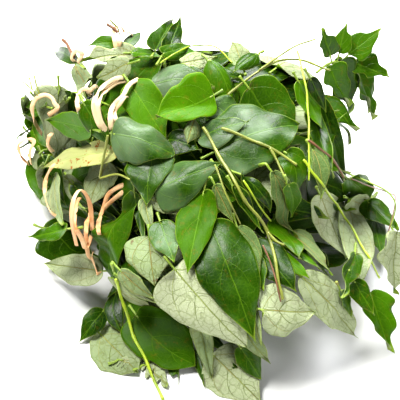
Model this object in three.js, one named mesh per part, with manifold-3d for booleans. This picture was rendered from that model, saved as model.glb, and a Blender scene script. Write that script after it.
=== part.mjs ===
// A market bundle of uziza leaves (Piper guineense), lying down.
// Small tied bunches of leaves are stacked with their stalk ends to the left (-X). Loose leaves and
// cut vine stems lie over them. Millimetres, +Z up, +X right, -Y front. The origin is the middle of
// the footprint, on the surface the bundle rests on.
import * as THREE from "three";
import { mergeVertices } from "three/addons/utils/BufferGeometryUtils.js";
import Module from "manifold-3d";

const wasm = await Module();
wasm.setup();

// The whole bundle is a rounded heap of this half width, half depth and height.
// Its front slopes down to the ground and its back is steeper.
const HEAP = { across: 175, depth: 205, height: 182, planPower: 2.6, frontPower: 1.6, backPower: 2.8 };
const INNER_HEAP = 0.93; // the tied bunches fill the heap up to this share of it
const VIEW_TILT = THREE.MathUtils.degToRad(43); // the map of the heap is drawn from here above its front

const GAP = 0.9; // clear space left between a piece and what it lies on
const LEAF_THICKNESS = 1.5; // a leaf with its waves and ribs, as one plate
const LEAF_GRID = { along: 7, across: 4 };
const LOBE = 0.07; // how far the foot of a blade sweeps back, as a share of its length
const STALK_RADIUS = 1.4;
const MIDRIB = 0.9; // height of the raised middle of a blade at its foot
const STALK_SIDES = 5;
const STEEPEST_LEAF = 0.55; // how steeply a leaf may bend off what it lies on
const FIELD_RADIUS = 180; // directions are compared as places on a ball of this radius

const BUNCH_GRID = { along: 15, across: 4 };
const NECK_RADIUS = 9; // half width of the gathered stalks
const NECK_ROOM = 7.6; // space under the stalks for the tie
const STEEPEST_BUNCH = 0.75;

const TIE = { width: 4.4, thickness: 1.3, steps: 22 };
const STEM_SIDES = 5;
const SMALLEST_EDGE = 0.12; // shorter edges, left where two solids join, are merged

const COLOURS = {
  glossy_leaf: { color: 0x2f7d1a, roughness: 0.38, metalness: 0 },
  young_leaf: { color: 0x6fa81c, roughness: 0.42, metalness: 0 },
  leaf_underside: { color: 0xb9cfa2, roughness: 0.7, metalness: 0 },
  stem: { color: 0x9fb53a, roughness: 0.55, metalness: 0 },
  palm_strip: { color: 0xe2a86c, roughness: 0.6, metalness: 0 },
};

// Small tied bunches, from the lowest to the highest. The neck is where the stalks are tied, in plan.
// turn is the heading of the leaves, anticlockwise from +X; loop is the height of the tie's loop.
const BUNCHES = [
  { neck: [-92, -112], turn: -4, length: 262, width: 100, thick: 28, loop: 24 },
  { neck: [-128, -34], turn: 0, length: 301, width: 98, thick: 28, loop: 30 },
  { neck: [-146, 56], turn: 0, length: 319, width: 98, thick: 28, loop: 34 },
  { neck: [-136, 128], turn: 4, length: 300, width: 100, thick: 28, loop: 26 },
  { neck: [-120, -64], turn: -8, length: 276, width: 112, thick: 26, loop: 36 },
  { neck: [-158, 12], turn: 0, length: 310, width: 104, thick: 26, loop: 42 },
  { neck: [-150, 92], turn: 2, length: 308, width: 118, thick: 26, loop: 40 },
  { neck: [-106, -78], turn: -18, length: 250, width: 104, thick: 22, loop: 34 },
  { neck: [-130, 56], turn: -6, length: 274, width: 112, thick: 22, loop: 30 },
  { neck: [-116, 128], turn: -4, length: 252, width: 100, thick: 22, loop: 32 },
  { neck: [-98, 6], turn: -10, length: 228, width: 108, thick: 15, loop: 36 },
  { neck: [-94, 72], turn: 0, length: 228, width: 108, thick: 15, loop: 34 },
];

// Loose leaves, from the lowest to the highest. at is the foot of the blade on the map of the heap
// (right, up), turn its heading there (0 points down the map, 90 to the right), stalk its length.
// rise lifts the whole blade and lift its tip.
const LEAVES = [
  { name: "back_left_leaf", at: [52, 64], back: true, turn: 14, length: 116, width: 78 },
  {
    name: "back_right_leaf", at: [-78, 66], back: true, turn: -16,
    length: 112, width: 74, side: "under",
  },
  { name: "back_low_leaf", at: [10, 10], back: true, turn: -24, length: 120, width: 80 },
  { name: "back_top_leaf", at: [-10, 130], back: true, turn: 12, length: 104, width: 76 },
  {
    name: "low_pale_torn_leaf", at: [10, -97], turn: 62, length: 74, width: 56,
    side: "under", lift: 8, stalk: 16,
  },
  {
    name: "low_left_round_pale_leaf", at: [-90, -98], turn: 56, length: 54,
    width: 48, side: "under", stalk: 14,
  },
  {
    name: "left_low_pale_leaf", at: [-100, -54], turn: -114, length: 68, width: 36,
    side: "under", lift: 16, stalk: 12,
  },
  {
    name: "right_low_pale_leaf", at: [104, -30], turn: 38, length: 76,
    width: 50, side: "under", stalk: 14,
  },
  {
    name: "right_low_wide_pale_leaf", at: [66, -78], turn: 104, length: 62,
    width: 44, side: "under", stalk: 16,
  },
  {
    name: "right_upper_pale_leaf", at: [122, 44], turn: 18, length: 68,
    width: 34, side: "under", stalk: 14,
  },
  {
    name: "right_long_pale_leaf", at: [154, 26], turn: 12, length: 78, width: 36,
    side: "under", rise: 6, stalk: 14,
  },
  {
    name: "left_pale_veined_leaf", at: [-84, 90], turn: -14, length: 60,
    width: 46, side: "under", stalk: 12,
  },
  {
    name: "left_bright_leaf", at: [-108, 116], turn: -88, length: 48,
    width: 40, side: "young", stalk: 10,
  },
  {
    name: "left_speckled_leaf", at: [-92, 86], turn: -86, length: 92,
    width: 38, side: "young", stalk: 12,
  },
  { name: "left_drooping_leaf", at: [-66, 50], turn: -14, length: 108, width: 40, stalk: 14 },
  { name: "smudged_pale_leaf", at: [-50, 2], turn: 4, length: 56, width: 50, side: "under", stalk: 10 },
  { name: "great_pale_leaf", at: [-28, -8], turn: 36, length: 120, width: 68, side: "under", stalk: 12 },
  { name: "front_dark_leaf", at: [12, 14], turn: 21, length: 114, width: 60, stalk: 12 },
  { name: "front_bright_leaf", at: [2, 48], turn: -20, length: 88, width: 46, side: "young", stalk: 14 },
  { name: "front_heart_leaf", at: [-64, -78], turn: 50, length: 80, width: 68, stalk: 14 },
  { name: "back_sheen_leaf", at: [-44, 146], turn: 88, length: 68, width: 56, stalk: 14 },
  { name: "upper_round_dark_leaf", at: [56, 146], turn: 38, length: 72, width: 60, stalk: 14 },
  { name: "right_broad_leaf", at: [22, 92], turn: 108, length: 92, width: 78, stalk: 16 },
  { name: "broad_gloss_leaf", at: [-48, 56], turn: 104, length: 80, width: 54, stalk: 14 },
  { name: "long_tipped_leaf", at: [-42, 86], turn: -10, length: 60, width: 46, stalk: 14 },
  { name: "upper_young_leaf", at: [-68, 146], turn: 24, length: 58, width: 42, side: "young", stalk: 12 },
  {
    name: "folded_young_leaf", at: [14, 138], turn: -56, length: 58,
    width: 46, side: "young", stalk: 14,
  },
  { name: "folded_grey_leaf", at: [-80, 106], turn: 56, length: 62, width: 46, stalk: 14 },
];

// Cut vine stems over the leaves: places on the map of the heap with a height above the leaves.
const STEMS = [
  {
    name: "main_vine_stem",
    radius: 2.1,
    route: [[2, 108, 1], [24, 74, 0], [44, 38, 0], [66, 8, 0], [76, -29, 0], [80, -56, 4]],
  },
  {
    name: "cut_vine_stem",
    radius: 1.9,
    route: [[22, 108, 2], [46, 100, 2], [70, 88, 4], [94, 72, 8]],
    twigs: [[[70, 88, 4], [77, 76, 3], [86, 58, 1]]],
  },
  {
    name: "upper_vine_stem",
    radius: 1.7,
    route: [[28, 138, 1], [52, 158, 3], [82, 172, 4], [104, 172, 6], [124, 164, 6]],
    twigs: [[[70, 168, 4], [94, 182, 14], [116, 190, 26]]],
  },
  {
    name: "right_vine_stem",
    radius: 1.7,
    route: [[105, 83, 1], [128, 52, 0], [155, 14, 2], [184, -36, 8]],
  },
  {
    name: "front_vine_stem",
    radius: 1.8,
    route: [[-82, -40, 1], [-73, -74, 1], [-58, -118, 1], [-38, -152, 12]],
  },
];

// Shoots that stand clear of the heap: the stem's route, and its blades, each from a place along the
// stem, with the direction it points in and the way its outer side faces.
const SHOOTS = [
  {
    name: "leafy_side_shoot",
    colour: "glossy_leaf",
    radius: 1.6,
    route: [[124, 108, 156], [136, 115, 162], [150, 122, 161], [168, 130, 152]],
    blades: [
      { along: 1, points: [0.35, -0.3, -0.9], faces: [0.6, -0.7, 0.45], length: 56, width: 30 },
      { along: 0.72, points: [0.72, 0.3, 0.5], faces: [-0.3, -0.8, 0.7], length: 42, width: 30 },
      { along: 0.55, points: [0.3, -0.35, -0.88], faces: [0.2, -0.9, 0.4], length: 58, width: 32 },
      { along: 0.3, points: [0.5, -0.45, -0.74], faces: [0.1, -0.7, 0.7], length: 46, width: 26 },
    ],
  },
  {
    name: "hanging_leaf_shoot",
    colour: "leaf_underside",
    radius: 1.1,
    route: [[150, 10, 87], [175, -10, 91], [192, -25, 92], [199, -36, 84], [194, -48, 68]],
    blades: [{ along: 1, points: [0.06, -0.66, -0.75], faces: [0.25, -0.72, 0.64], length: 60, width: 44 }],
  },
  {
    name: "right_low_dark_leaf",
    colour: "glossy_leaf",
    radius: 1.2,
    route: [[142, -90, 56], [150, -97, 50], [157, -103, 43]],
    blades: [{ along: 1, points: [0.3, -0.86, -0.42], faces: [0.25, -0.35, 0.9], length: 52, width: 32 }],
  },
];

// ---------------------------------------------------------------- the heap and what lies on it

// The directions of a map of the heap, drawn from above its front or its back.
function mapAxes(back) {
  const facing = back ? -1 : 1;
  return {
    right: new THREE.Vector3(facing, 0, 0),
    up: new THREE.Vector3(0, facing * Math.sin(VIEW_TILT), Math.cos(VIEW_TILT)),
    out: new THREE.Vector3(0, -facing * Math.cos(VIEW_TILT), Math.sin(VIEW_TILT)),
  };
}

// How far along a direction, a unit vector, from the origin the heap reaches.
function heapRadius(direction) {
  const backwards = THREE.MathUtils.smoothstep(direction.y, -0.5, 0.6);
  const power = THREE.MathUtils.lerp(HEAP.frontPower, HEAP.backPower, backwards);
  const plan =
    (Math.abs(direction.x) / HEAP.across) ** HEAP.planPower +
    (Math.abs(direction.y) / HEAP.depth) ** HEAP.planPower;
  const rise = (Math.abs(direction.z) / HEAP.height) ** power;
  return (plan ** (power / HEAP.planPower) + rise) ** (-1 / power);
}

// The point of the heap's surface above, or outside, a point.
function onHeap(point) {
  const direction = point.clone().setZ(Math.max(point.z, 0.5)).normalize();
  return direction.multiplyScalar(heapRadius(direction));
}

// How far outside the heap a point is, along its direction from the origin.
const outsideHeap = (point, share = 1) => point.length() - share * heapRadius(point.clone().normalize());

function heapNormal(point) {
  const step = 0.5;
  const slope = (x, y, z) =>
    outsideHeap(point.clone().add(new THREE.Vector3(x, y, z))) -
    outsideHeap(point.clone().sub(new THREE.Vector3(x, y, z)));
  return new THREE.Vector3(slope(step, 0, 0), slope(0, step, 0), slope(0, 0, step)).normalize();
}

// The point of the heap at a place on its map; a place off its edge gives the nearest edge.
function fromMap([right, up], back = false) {
  const axes = mapAxes(back);
  const base = axes.right.clone().multiplyScalar(right).addScaledVector(axes.up, up);
  let best = null;
  let closest = Infinity;
  for (let along = 330; along > -330; along -= 1) {
    const point = base.clone().addScaledVector(axes.out, along);
    if (point.z < 0) continue;
    const outside = outsideHeap(point);
    if (outside < 0) return onHeap(point);
    if (outside < closest) {
      closest = outside;
      best = point;
    }
  }
  return onHeap(best);
}

// What is laid so far, as places with a height each. A query gives the greatest height near a place.
class Pile {
  constructor() {
    this.places = [];
    this.heights = [];
  }
  add(place, height) {
    this.places.push(place);
    this.heights.push(height);
  }
  highest(place, reach, lowest) {
    let top = lowest;
    for (let i = 0; i < this.places.length; i++) {
      if (this.heights[i] > top && this.places[i].distanceToSquared(place) < reach * reach) {
        top = this.heights[i];
      }
    }
    return top;
  }
}

const stacked = new Pile(); // plan places and heights above the ground, for the tied bunches
const wrapped = new Pile(); // directions and distances from the origin, for what lies over them

const directionPlace = (point) => point.clone().normalize().multiplyScalar(FIELD_RADIUS);

// Raises the values of a grid until no two neighbours differ more than the slope allows.
function easeSlopes(points, values, rows, columns, slope) {
  const at = (row, column) => row * columns + column;
  const raise = (from, to) => {
    const least = values[from] - slope * points[from].distanceTo(points[to]);
    if (values[to] < least) values[to] = least;
  };
  for (let pass = 0; pass < rows; pass++) {
    for (let row = 0; row < rows; row++) {
      for (let column = 0; column < columns; column++) {
        if (row > 0) raise(at(row - 1, column), at(row, column));
        if (row < rows - 1) raise(at(row + 1, column), at(row, column));
        if (column > 0) raise(at(row, column - 1), at(row, column));
        if (column < columns - 1) raise(at(row, column + 1), at(row, column));
      }
    }
  }
}

// ---------------------------------------------------------------- solids

function toSolid(geometry) {
  geometry.deleteAttribute("normal");
  geometry.deleteAttribute("uv");
  const merged = mergeVertices(geometry, 1e-3);
  const mesh = new wasm.Mesh({
    numProp: 3,
    vertProperties: merged.attributes.position.array,
    triVerts: new Uint32Array(merged.index.array),
  });
  return new wasm.Manifold(mesh);
}

function fromSolid(solid) {
  const mesh = solid.simplify(SMALLEST_EDGE).getMesh();
  const geometry = new THREE.BufferGeometry();
  geometry.setAttribute("position", new THREE.BufferAttribute(mesh.vertProperties, 3));
  geometry.setIndex(new THREE.BufferAttribute(mesh.triVerts, 1));
  geometry.computeVertexNormals();
  return geometry;
}

// A plate bent from a flat box. place(row, column, top) gives each point of its two sides.
function bentPlate(grid, place) {
  const geometry = new THREE.BoxGeometry(1, 1, 1, grid.along, grid.across, 1);
  const position = geometry.attributes.position;
  for (let i = 0; i < position.count; i++) {
    const row = Math.round((position.getX(i) + 0.5) * grid.along);
    const column = Math.round((position.getY(i) + 0.5) * grid.across);
    const point = place(row, column, position.getZ(i) > 0);
    position.setXYZ(i, point.x, point.y, point.z);
  }
  return geometry;
}

// A round rod bent along points, with a radius at each.
function bentRod(points, radii, sides) {
  const steps = points.length - 1;
  const geometry = new THREE.CylinderGeometry(1, 1, 1, sides, steps);
  const tangents = points.map((_, i) => {
    const before = points[Math.max(i - 1, 0)];
    const after = points[Math.min(i + 1, steps)];
    return after.clone().sub(before).normalize();
  });
  let side = new THREE.Vector3(0.31, 0.22, 0.92);
  const sideways = tangents.map((tangent) => {
    side = side.clone().addScaledVector(tangent, -side.dot(tangent)).normalize();
    return side;
  });
  const position = geometry.attributes.position;
  for (let i = 0; i < position.count; i++) {
    const step = Math.round((position.getY(i) + 0.5) * steps);
    const other = sideways[step].clone().cross(tangents[step]);
    const point = points[step]
      .clone()
      .addScaledVector(sideways[step], position.getX(i) * radii[step])
      .addScaledVector(other, position.getZ(i) * radii[step]);
    position.setXYZ(i, point.x, point.y, point.z);
  }
  return geometry;
}

function mesh(name, geometry, colour) {
  const piece = new THREE.Mesh(geometry, new THREE.MeshStandardMaterial(COLOURS[colour]));
  piece.name = name;
  return piece;
}

// ---------------------------------------------------------------- tied bunches

// Half width of a bunch along its length: stalks, then leaves whose tips make steps down the sides.
function bunchHalfWidth(share, width) {
  const opening = THREE.MathUtils.smoothstep(share, 0.1, 0.36);
  const closing = 1 - 0.5 * THREE.MathUtils.smoothstep(share, 0.78, 1);
  const step = share > 0.3 ? 0.14 * ((share * 5) % 1) : 0;
  return NECK_RADIUS + (width / 2 - NECK_RADIUS) * opening * closing * (1 - step);
}

function bunchThickness(share, side, thick) {
  const opening = THREE.MathUtils.smoothstep(share, 0.08, 0.4);
  const closing = 1 - 0.45 * THREE.MathUtils.smoothstep(share, 0.75, 1);
  const body = thick * closing * (1 - 0.35 * Math.abs(side) ** 3) - 4 * ((share * 5) % 1);
  return THREE.MathUtils.lerp(2 * NECK_RADIUS, body, opening);
}

// The greatest height of the bunches at a place in plan, under the outer leaves.
function innerHeight(x, y) {
  let low = 0;
  let high = HEAP.height;
  while (high - low > 0.2) {
    const middle = (low + high) / 2;
    if (outsideHeap(new THREE.Vector3(x, y, middle), INNER_HEAP) < 0) low = middle;
    else high = middle;
  }
  return low;
}

function layBunch(spec) {
  const { along, across } = BUNCH_GRID;
  const heading = THREE.MathUtils.degToRad(spec.turn);
  const forward = new THREE.Vector3(Math.cos(heading), Math.sin(heading), 0);
  const left = new THREE.Vector3(-forward.y, forward.x, 0);
  const neck = new THREE.Vector3(spec.neck[0], spec.neck[1], 0);
  const start = 22; // the stalks end this far behind the tie
  const columns = across + 1;
  const plan = [];
  const bottoms = [];
  const cell = Math.hypot(spec.length / along, spec.width / across);
  const inNeck = (i) => (Math.floor(i / columns) / along) * spec.length < 2 * start;
  for (let row = 0; row <= along; row++) {
    const share = row / along;
    const half = bunchHalfWidth(share, spec.width);
    for (let column = 0; column <= across; column++) {
      const side = (2 * column) / across - 1;
      const point = neck
        .clone()
        .addScaledVector(forward, share * spec.length - start)
        .addScaledVector(left, side * half);
      const floor = stacked.highest(point, cell, -GAP);
      plan.push(point);
      bottoms.push(floor + GAP);
    }
  }
  const stalks = plan.filter((_, i) => inNeck(i)).length;
  const neckHeight = Math.max(...bottoms.slice(0, stalks)) + NECK_ROOM;
  bottoms.fill(neckHeight, 0, stalks);
  easeSlopes(plan, bottoms, along + 1, columns, STEEPEST_BUNCH);
  const tops = plan.map((point, i) => {
    const share = Math.floor(i / columns) / along;
    const side = (2 * (i % columns)) / across - 1;
    const top = bottoms[i] + bunchThickness(share, side, spec.thick);
    const limit = Math.max(innerHeight(point.x, point.y), bottoms[i] + 5);
    return inNeck(i) ? top : Math.min(top, limit);
  });
  const rounded = (i) => {
    const share = Math.floor(i / columns) / along;
    const side = (2 * (i % columns)) / across - 1;
    return (1 - THREE.MathUtils.smoothstep(share, 0.1, 0.3)) * 0.32 * side * side * 2 * NECK_RADIUS;
  };
  const place = (row, column, top) => {
    const i = row * columns + column;
    return plan[i].clone().setZ(top ? tops[i] - rounded(i) : bottoms[i] + rounded(i));
  };
  sampleGrid(plan, tops, along + 1, columns, 5, (point, height) => {
    stacked.add(point.clone().setZ(0), height);
    const surface = point.clone().setZ(height);
    wrapped.add(directionPlace(surface), surface.length());
  });
  const tieRow = start / spec.length;
  const middle = Math.round(tieRow * along) * columns + across / 2;
  const axis = neck.clone().setZ((tops[middle] + bottoms[middle]) / 2);
  return { solid: bentPlate(BUNCH_GRID, place), axis, forward, left };
}

// Calls visit with points all over a grid of plan points and heights, steps of them per cell.
function sampleGrid(points, heights, rows, columns, steps, visit) {
  for (let row = 0; row < rows - 1; row++) {
    for (let column = 0; column < columns - 1; column++) {
      const corner = row * columns + column;
      const corners = [corner, corner + 1, corner + columns, corner + columns + 1];
      for (let i = 0; i <= steps; i++) {
        for (let j = 0; j <= steps; j++) {
          const u = i / steps;
          const v = j / steps;
          const weights = [(1 - u) * (1 - v), (1 - u) * v, u * (1 - v), u * v];
          const point = new THREE.Vector3();
          let height = 0;
          corners.forEach((index, k) => {
            point.addScaledVector(points[index], weights[k]);
            height += heights[index] * weights[k];
          });
          visit(point, height);
        }
      }
    }
  }
}

// A palm strip wound once round the stalks and standing out in a loop.
function tieGeometry({ axis, forward, left }, loop, lean) {
  const round = NECK_RADIUS + TIE.thickness / 2 + 3.5;
  const route = [
    [-round - 7, round + 4, 3.2],
    [-round - 1, 3, 3],
    [-round * 0.75, -round * 0.8, 2.4],
    [0, -round - 1, 1.2],
    [round * 0.85, -round * 0.75, 0],
    [round + 2, 2, -0.6],
    [round + 5, loop * 0.55, -1.4],
    [round * 0.7, loop, -2.2],
    [-round * 0.3, loop * 1.04, -2.6],
    [-round - 1, loop * 0.75, -3],
    [-round - 2.5, loop * 0.35, -3.4],
    [-round - 1.5, -4, -3.8],
  ];
  const points = route.map(([side, rise, along]) =>
    axis
      .clone()
      .addScaledVector(left, side + lean * Math.max(rise, 0) * 0.3)
      .addScaledVector(forward, along - 0.25 * Math.max(rise, 0))
      .add(new THREE.Vector3(0, 0, rise)),
  );
  const section = new THREE.Shape([
    new THREE.Vector2(-TIE.thickness / 2, -TIE.width / 2),
    new THREE.Vector2(TIE.thickness / 2, -TIE.width / 2),
    new THREE.Vector2(TIE.thickness / 2, TIE.width / 2),
    new THREE.Vector2(-TIE.thickness / 2, TIE.width / 2),
  ]);
  return new THREE.ExtrudeGeometry(section, {
    steps: TIE.steps,
    extrudePath: new THREE.CatmullRomCurve3(points),
    bevelEnabled: false,
  });
}

// ---------------------------------------------------------------- leaves

// Half width of a leaf blade as a share of its greatest: rounded foot, long drawn-out tip.
function bladeHalfWidth(share) {
  return Math.max(((0.42 + 2.9 * share) * (1 - share) ** 1.35) / 0.8, 0.025);
}

// Walks over the heap from a point, and gives a point and a sideways direction at any distance.
function walkOverHeap(start, axes, turn, behind, ahead) {
  const step = 4;
  const flat = (vector, normal) => vector.addScaledVector(normal, -vector.dot(normal)).normalize();
  const angle = THREE.MathUtils.degToRad(turn);
  const wish = axes.right
    .clone()
    .multiplyScalar(Math.sin(angle))
    .addScaledVector(axes.up, -Math.cos(angle));
  const legs = [behind, ahead].map((distance, way) => {
    const trail = [];
    let point = start.clone();
    let heading = flat(wish.clone(), heapNormal(point)).multiplyScalar(way ? 1 : -1);
    for (let gone = 0; gone <= distance + step; gone += step) {
      const normal = heapNormal(point);
      heading = flat(heading, normal);
      const side = normal.clone().cross(heading).multiplyScalar(way ? 1 : -1);
      trail.push({ point: point.clone(), side });
      const next = point.clone().addScaledVector(heading, step);
      if (next.z < 3) next.z = 3;
      point = onHeap(next);
    }
    return trail;
  });
  return (distance) => {
    const trail = legs[distance < 0 ? 0 : 1];
    const place = Math.min(Math.abs(distance) / step, trail.length - 1.001);
    const index = Math.floor(place);
    const share = place - index;
    return {
      point: trail[index].point.clone().lerp(trail[index + 1].point, share),
      side: trail[index].side.clone().lerp(trail[index + 1].side, share).normalize(),
    };
  };
}

function layLeaf(spec) {
  const { along, across } = LEAF_GRID;
  const { length, width, stalk = 24, lift = 0, rise = 0 } = spec;
  const columns = across + 1;
  const trail = walkOverHeap(fromMap(spec.at, spec.back), mapAxes(spec.back), spec.turn, stalk, length);
  const cell = Math.hypot(length / along, width / across) * 0.9;
  const rest = [];
  const heights = [];
  for (let row = 0; row <= along; row++) {
    const share = row / along;
    for (let column = 0; column <= across; column++) {
      const side = (2 * column) / across - 1;
      const reach = length * (share - LOBE * (1 - share) ** 3 * Math.abs(side) ** 1.5);
      const { point, side: sideways } = trail(reach);
      point.addScaledVector(sideways, (side * width * bladeHalfWidth(share)) / 2);
      const surface = onHeap(point);
      rest.push(surface);
      heights.push(wrapped.highest(directionPlace(surface), cell, INNER_HEAP * surface.length()) + GAP);
    }
  }
  easeSlopes(rest, heights, along + 1, columns, STEEPEST_LEAF);
  const bottoms = heights.map((height, i) => {
    const share = Math.floor(i / columns) / along;
    return height + rise + lift * share ** 2.5;
  });
  const at = (i, extra) => rest[i].clone().normalize().multiplyScalar(bottoms[i] + extra);
  const place = (row, column, top) => {
    const rib = column === across / 2 ? MIDRIB * (1 - row / along) : 0;
    return at(row * columns + column, top ? LEAF_THICKNESS + rib : 0);
  };
  const blade = toSolid(bentPlate(LEAF_GRID, place));
  const rod = layStalk(trail, stalk, (row) => at(row * columns + across / 2, LEAF_THICKNESS / 2));
  const tops = bottoms.map((height) => height + LEAF_THICKNESS);
  const directions = rest.map((point) => point.clone().normalize());
  sampleGrid(directions, tops, along + 1, columns, 4, (direction, height) =>
    wrapped.add(directionPlace(direction), height),
  );
  return fromSolid(blade.add(rod));
}

// The leaf's stalk, which ends inside the foot of the blade.
function layStalk(trail, stalk, bladePoint) {
  const steps = 4;
  const behind = [];
  for (let i = steps; i >= 1; i--) {
    const surface = onHeap(trail((-stalk * i) / steps).point);
    const below = wrapped.highest(directionPlace(surface), 7, INNER_HEAP * surface.length());
    behind.push({ surface, floor: below + GAP + STALK_RADIUS });
  }
  const foot = bladePoint(0);
  let limit = foot.length();
  for (let i = behind.length - 1; i >= 0; i--) {
    limit = Math.max(behind[i].floor, limit - 0.45 * (stalk / steps));
    behind[i].floor = limit;
  }
  const points = behind.map(({ surface, floor }) => surface.clone().normalize().multiplyScalar(floor));
  points.forEach((point) => wrapped.add(directionPlace(point), point.length() + STALK_RADIUS));
  points.push(foot.clone().lerp(bladePoint(1), 0.55));
  const radii = points.map((_, i) => STALK_RADIUS * (i < steps ? 1 : 0.8));
  return toSolid(bentRod(points, radii, STALK_SIDES));
}

// ---------------------------------------------------------------- stems

// A stem laid over the leaves, thicker at its joints, with its side twigs.
function layStem(spec) {
  const reach = 9;
  const rod = (route, radius, fork) => {
    const middle = new THREE.CatmullRomCurve3(route.map((place) => fromMap(place)));
    const lifts = route.map((place) => place[2]);
    const steps = Math.ceil(middle.getLength() / 11);
    const points = middle.getSpacedPoints(steps).map((point, i) => {
      const place = (i / steps) * (lifts.length - 1);
      const before = Math.min(Math.floor(place), lifts.length - 2);
      const lift = THREE.MathUtils.lerp(lifts[before], lifts[before + 1], place - before);
      const surface = onHeap(point);
      const floor = wrapped.highest(directionPlace(surface), reach, INNER_HEAP * surface.length());
      surface.normalize().multiplyScalar(floor + GAP + 1.25 * radius + lift);
      return surface.setZ(Math.max(surface.z, 1.25 * radius + GAP));
    });
    if (fork) points[0] = fork(points[0]).clone();
    const radii = points.map((_, i) => radius * (i % 5 === 2 ? 1.25 : 1));
    return { points, solid: toSolid(bentRod(points, radii, STEM_SIDES)) };
  };
  const main = rod(spec.route, spec.radius);
  const nearest = (place) =>
    main.points.reduce((best, point) => (point.distanceTo(place) < best.distanceTo(place) ? point : best));
  const twigs = (spec.twigs ?? []).map((route) => rod(route, spec.radius * 0.75, nearest));
  twigs.forEach((twig) => (main.solid = main.solid.add(twig.solid)));
  [main, ...twigs].forEach(({ points }) =>
    points.forEach((point) => wrapped.add(directionPlace(point), point.length() + spec.radius)),
  );
  return fromSolid(main.solid);
}

// A blade in the air, which bends down towards its tip.
function freeBlade(foot, { points, faces, length, width }) {
  const forward = new THREE.Vector3(...points).normalize();
  const facing = new THREE.Vector3(...faces);
  facing.addScaledVector(forward, -facing.dot(forward)).normalize();
  const side = facing.clone().cross(forward);
  const stalk = 8;
  const middle = (share) =>
    foot
      .clone()
      .addScaledVector(forward, stalk + share * length)
      .addScaledVector(facing, -0.16 * length * share ** 2);
  const place = (row, column, top) => {
    const share = row / LEAF_GRID.along;
    const across = (2 * column) / LEAF_GRID.across - 1;
    return middle(share)
      .addScaledVector(side, (across * width * bladeHalfWidth(share)) / 2)
      .addScaledVector(facing, 3 * across ** 2 + (top ? LEAF_THICKNESS : 0));
  };
  const rod = bentRod([foot, middle(0.08)], [1.2, 1.0], STALK_SIDES);
  return toSolid(bentPlate(LEAF_GRID, place)).add(toSolid(rod));
}

function growShoot({ route, radius, blades }) {
  const middle = new THREE.CatmullRomCurve3(route.map((place) => new THREE.Vector3(...place)));
  const points = middle.getSpacedPoints(7);
  const radii = points.map((_, i) => radius * (1 - 0.06 * i));
  const stem = toSolid(bentRod(points, radii, STEM_SIDES));
  const grown = blades.map((blade) => freeBlade(middle.getPoint(blade.along), blade));
  return fromSolid(grown.reduce((whole, blade) => whole.add(blade), stem));
}

// ---------------------------------------------------------------- the bundle

const bundle = new THREE.Group();

BUNCHES.forEach((spec, i) => {
  const number = String(i + 1).padStart(2, "0");
  const bunch = layBunch(spec);
  bundle.add(mesh(`bunch_${number}_leaves`, bunch.solid, "glossy_leaf"));
  const tie = tieGeometry(bunch, spec.loop, i % 2 ? 1 : -1);
  bundle.add(mesh(`bunch_${number}_tie`, tie, "palm_strip"));
});

LEAVES.forEach((spec) => {
  const colour = { under: "leaf_underside", young: "young_leaf" }[spec.side] ?? "glossy_leaf";
  bundle.add(mesh(spec.name, layLeaf(spec), colour));
});

STEMS.forEach((spec) => bundle.add(mesh(spec.name, layStem(spec), "stem")));
SHOOTS.forEach((spec) => bundle.add(mesh(spec.name, growShoot(spec), spec.colour)));

export default bundle;
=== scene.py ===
"""A market bundle of uziza leaves: the leaves, stalks, vine stems and palm strips over the CAD frame."""

import math

import bpy
import numpy as np
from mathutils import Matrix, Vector
from mathutils.bvhtree import BVHTree


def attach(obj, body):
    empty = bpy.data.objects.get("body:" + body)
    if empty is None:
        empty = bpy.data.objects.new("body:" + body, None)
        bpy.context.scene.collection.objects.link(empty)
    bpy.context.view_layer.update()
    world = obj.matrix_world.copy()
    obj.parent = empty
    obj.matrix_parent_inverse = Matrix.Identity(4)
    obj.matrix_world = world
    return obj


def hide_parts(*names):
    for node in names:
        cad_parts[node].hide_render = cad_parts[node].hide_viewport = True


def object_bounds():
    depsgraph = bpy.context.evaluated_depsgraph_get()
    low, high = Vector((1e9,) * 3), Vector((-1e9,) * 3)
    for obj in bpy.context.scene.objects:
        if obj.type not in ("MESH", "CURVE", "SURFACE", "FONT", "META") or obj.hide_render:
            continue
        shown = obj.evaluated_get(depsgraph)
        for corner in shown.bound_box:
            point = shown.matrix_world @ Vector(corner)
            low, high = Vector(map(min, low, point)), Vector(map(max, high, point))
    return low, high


MM = 0.001
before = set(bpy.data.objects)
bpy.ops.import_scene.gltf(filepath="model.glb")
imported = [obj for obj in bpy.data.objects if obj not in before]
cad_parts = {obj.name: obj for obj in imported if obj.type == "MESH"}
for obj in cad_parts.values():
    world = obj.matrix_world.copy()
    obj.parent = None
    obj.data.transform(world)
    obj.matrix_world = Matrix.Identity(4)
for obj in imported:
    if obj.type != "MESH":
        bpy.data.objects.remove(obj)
cad_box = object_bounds()
rng = np.random.default_rng(21)

# ------------------------------------------------------------------ view, light and floor

TARGET = np.array([0.0, -2.0, 60.0])  # what the camera looks at, mm
CAMERA_TILT = math.radians(43)  # above the horizon, in front of the bundle
CAMERA_DISTANCE = 900.0
CAMERA_OUT = np.array([0.0, -math.cos(CAMERA_TILT), math.sin(CAMERA_TILT)])
CAMERA_UP = np.array([0.0, math.sin(CAMERA_TILT), math.cos(CAMERA_TILT)])
EYE = TARGET + CAMERA_DISTANCE * CAMERA_OUT
FIELD_OF_VIEW = math.radians(25.5)


def make_camera():
    data = bpy.data.cameras.new("camera")
    data.sensor_width = 36
    data.lens = 18 / math.tan(FIELD_OF_VIEW / 2)
    data.clip_start, data.clip_end = 0.05, 20
    camera = bpy.data.objects.new("camera", data)
    camera.location = EYE * MM
    camera.rotation_euler = Vector(-CAMERA_OUT).to_track_quat("-Z", "Y").to_euler()
    bpy.context.scene.collection.objects.link(camera)
    bpy.context.scene.camera = camera


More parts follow.
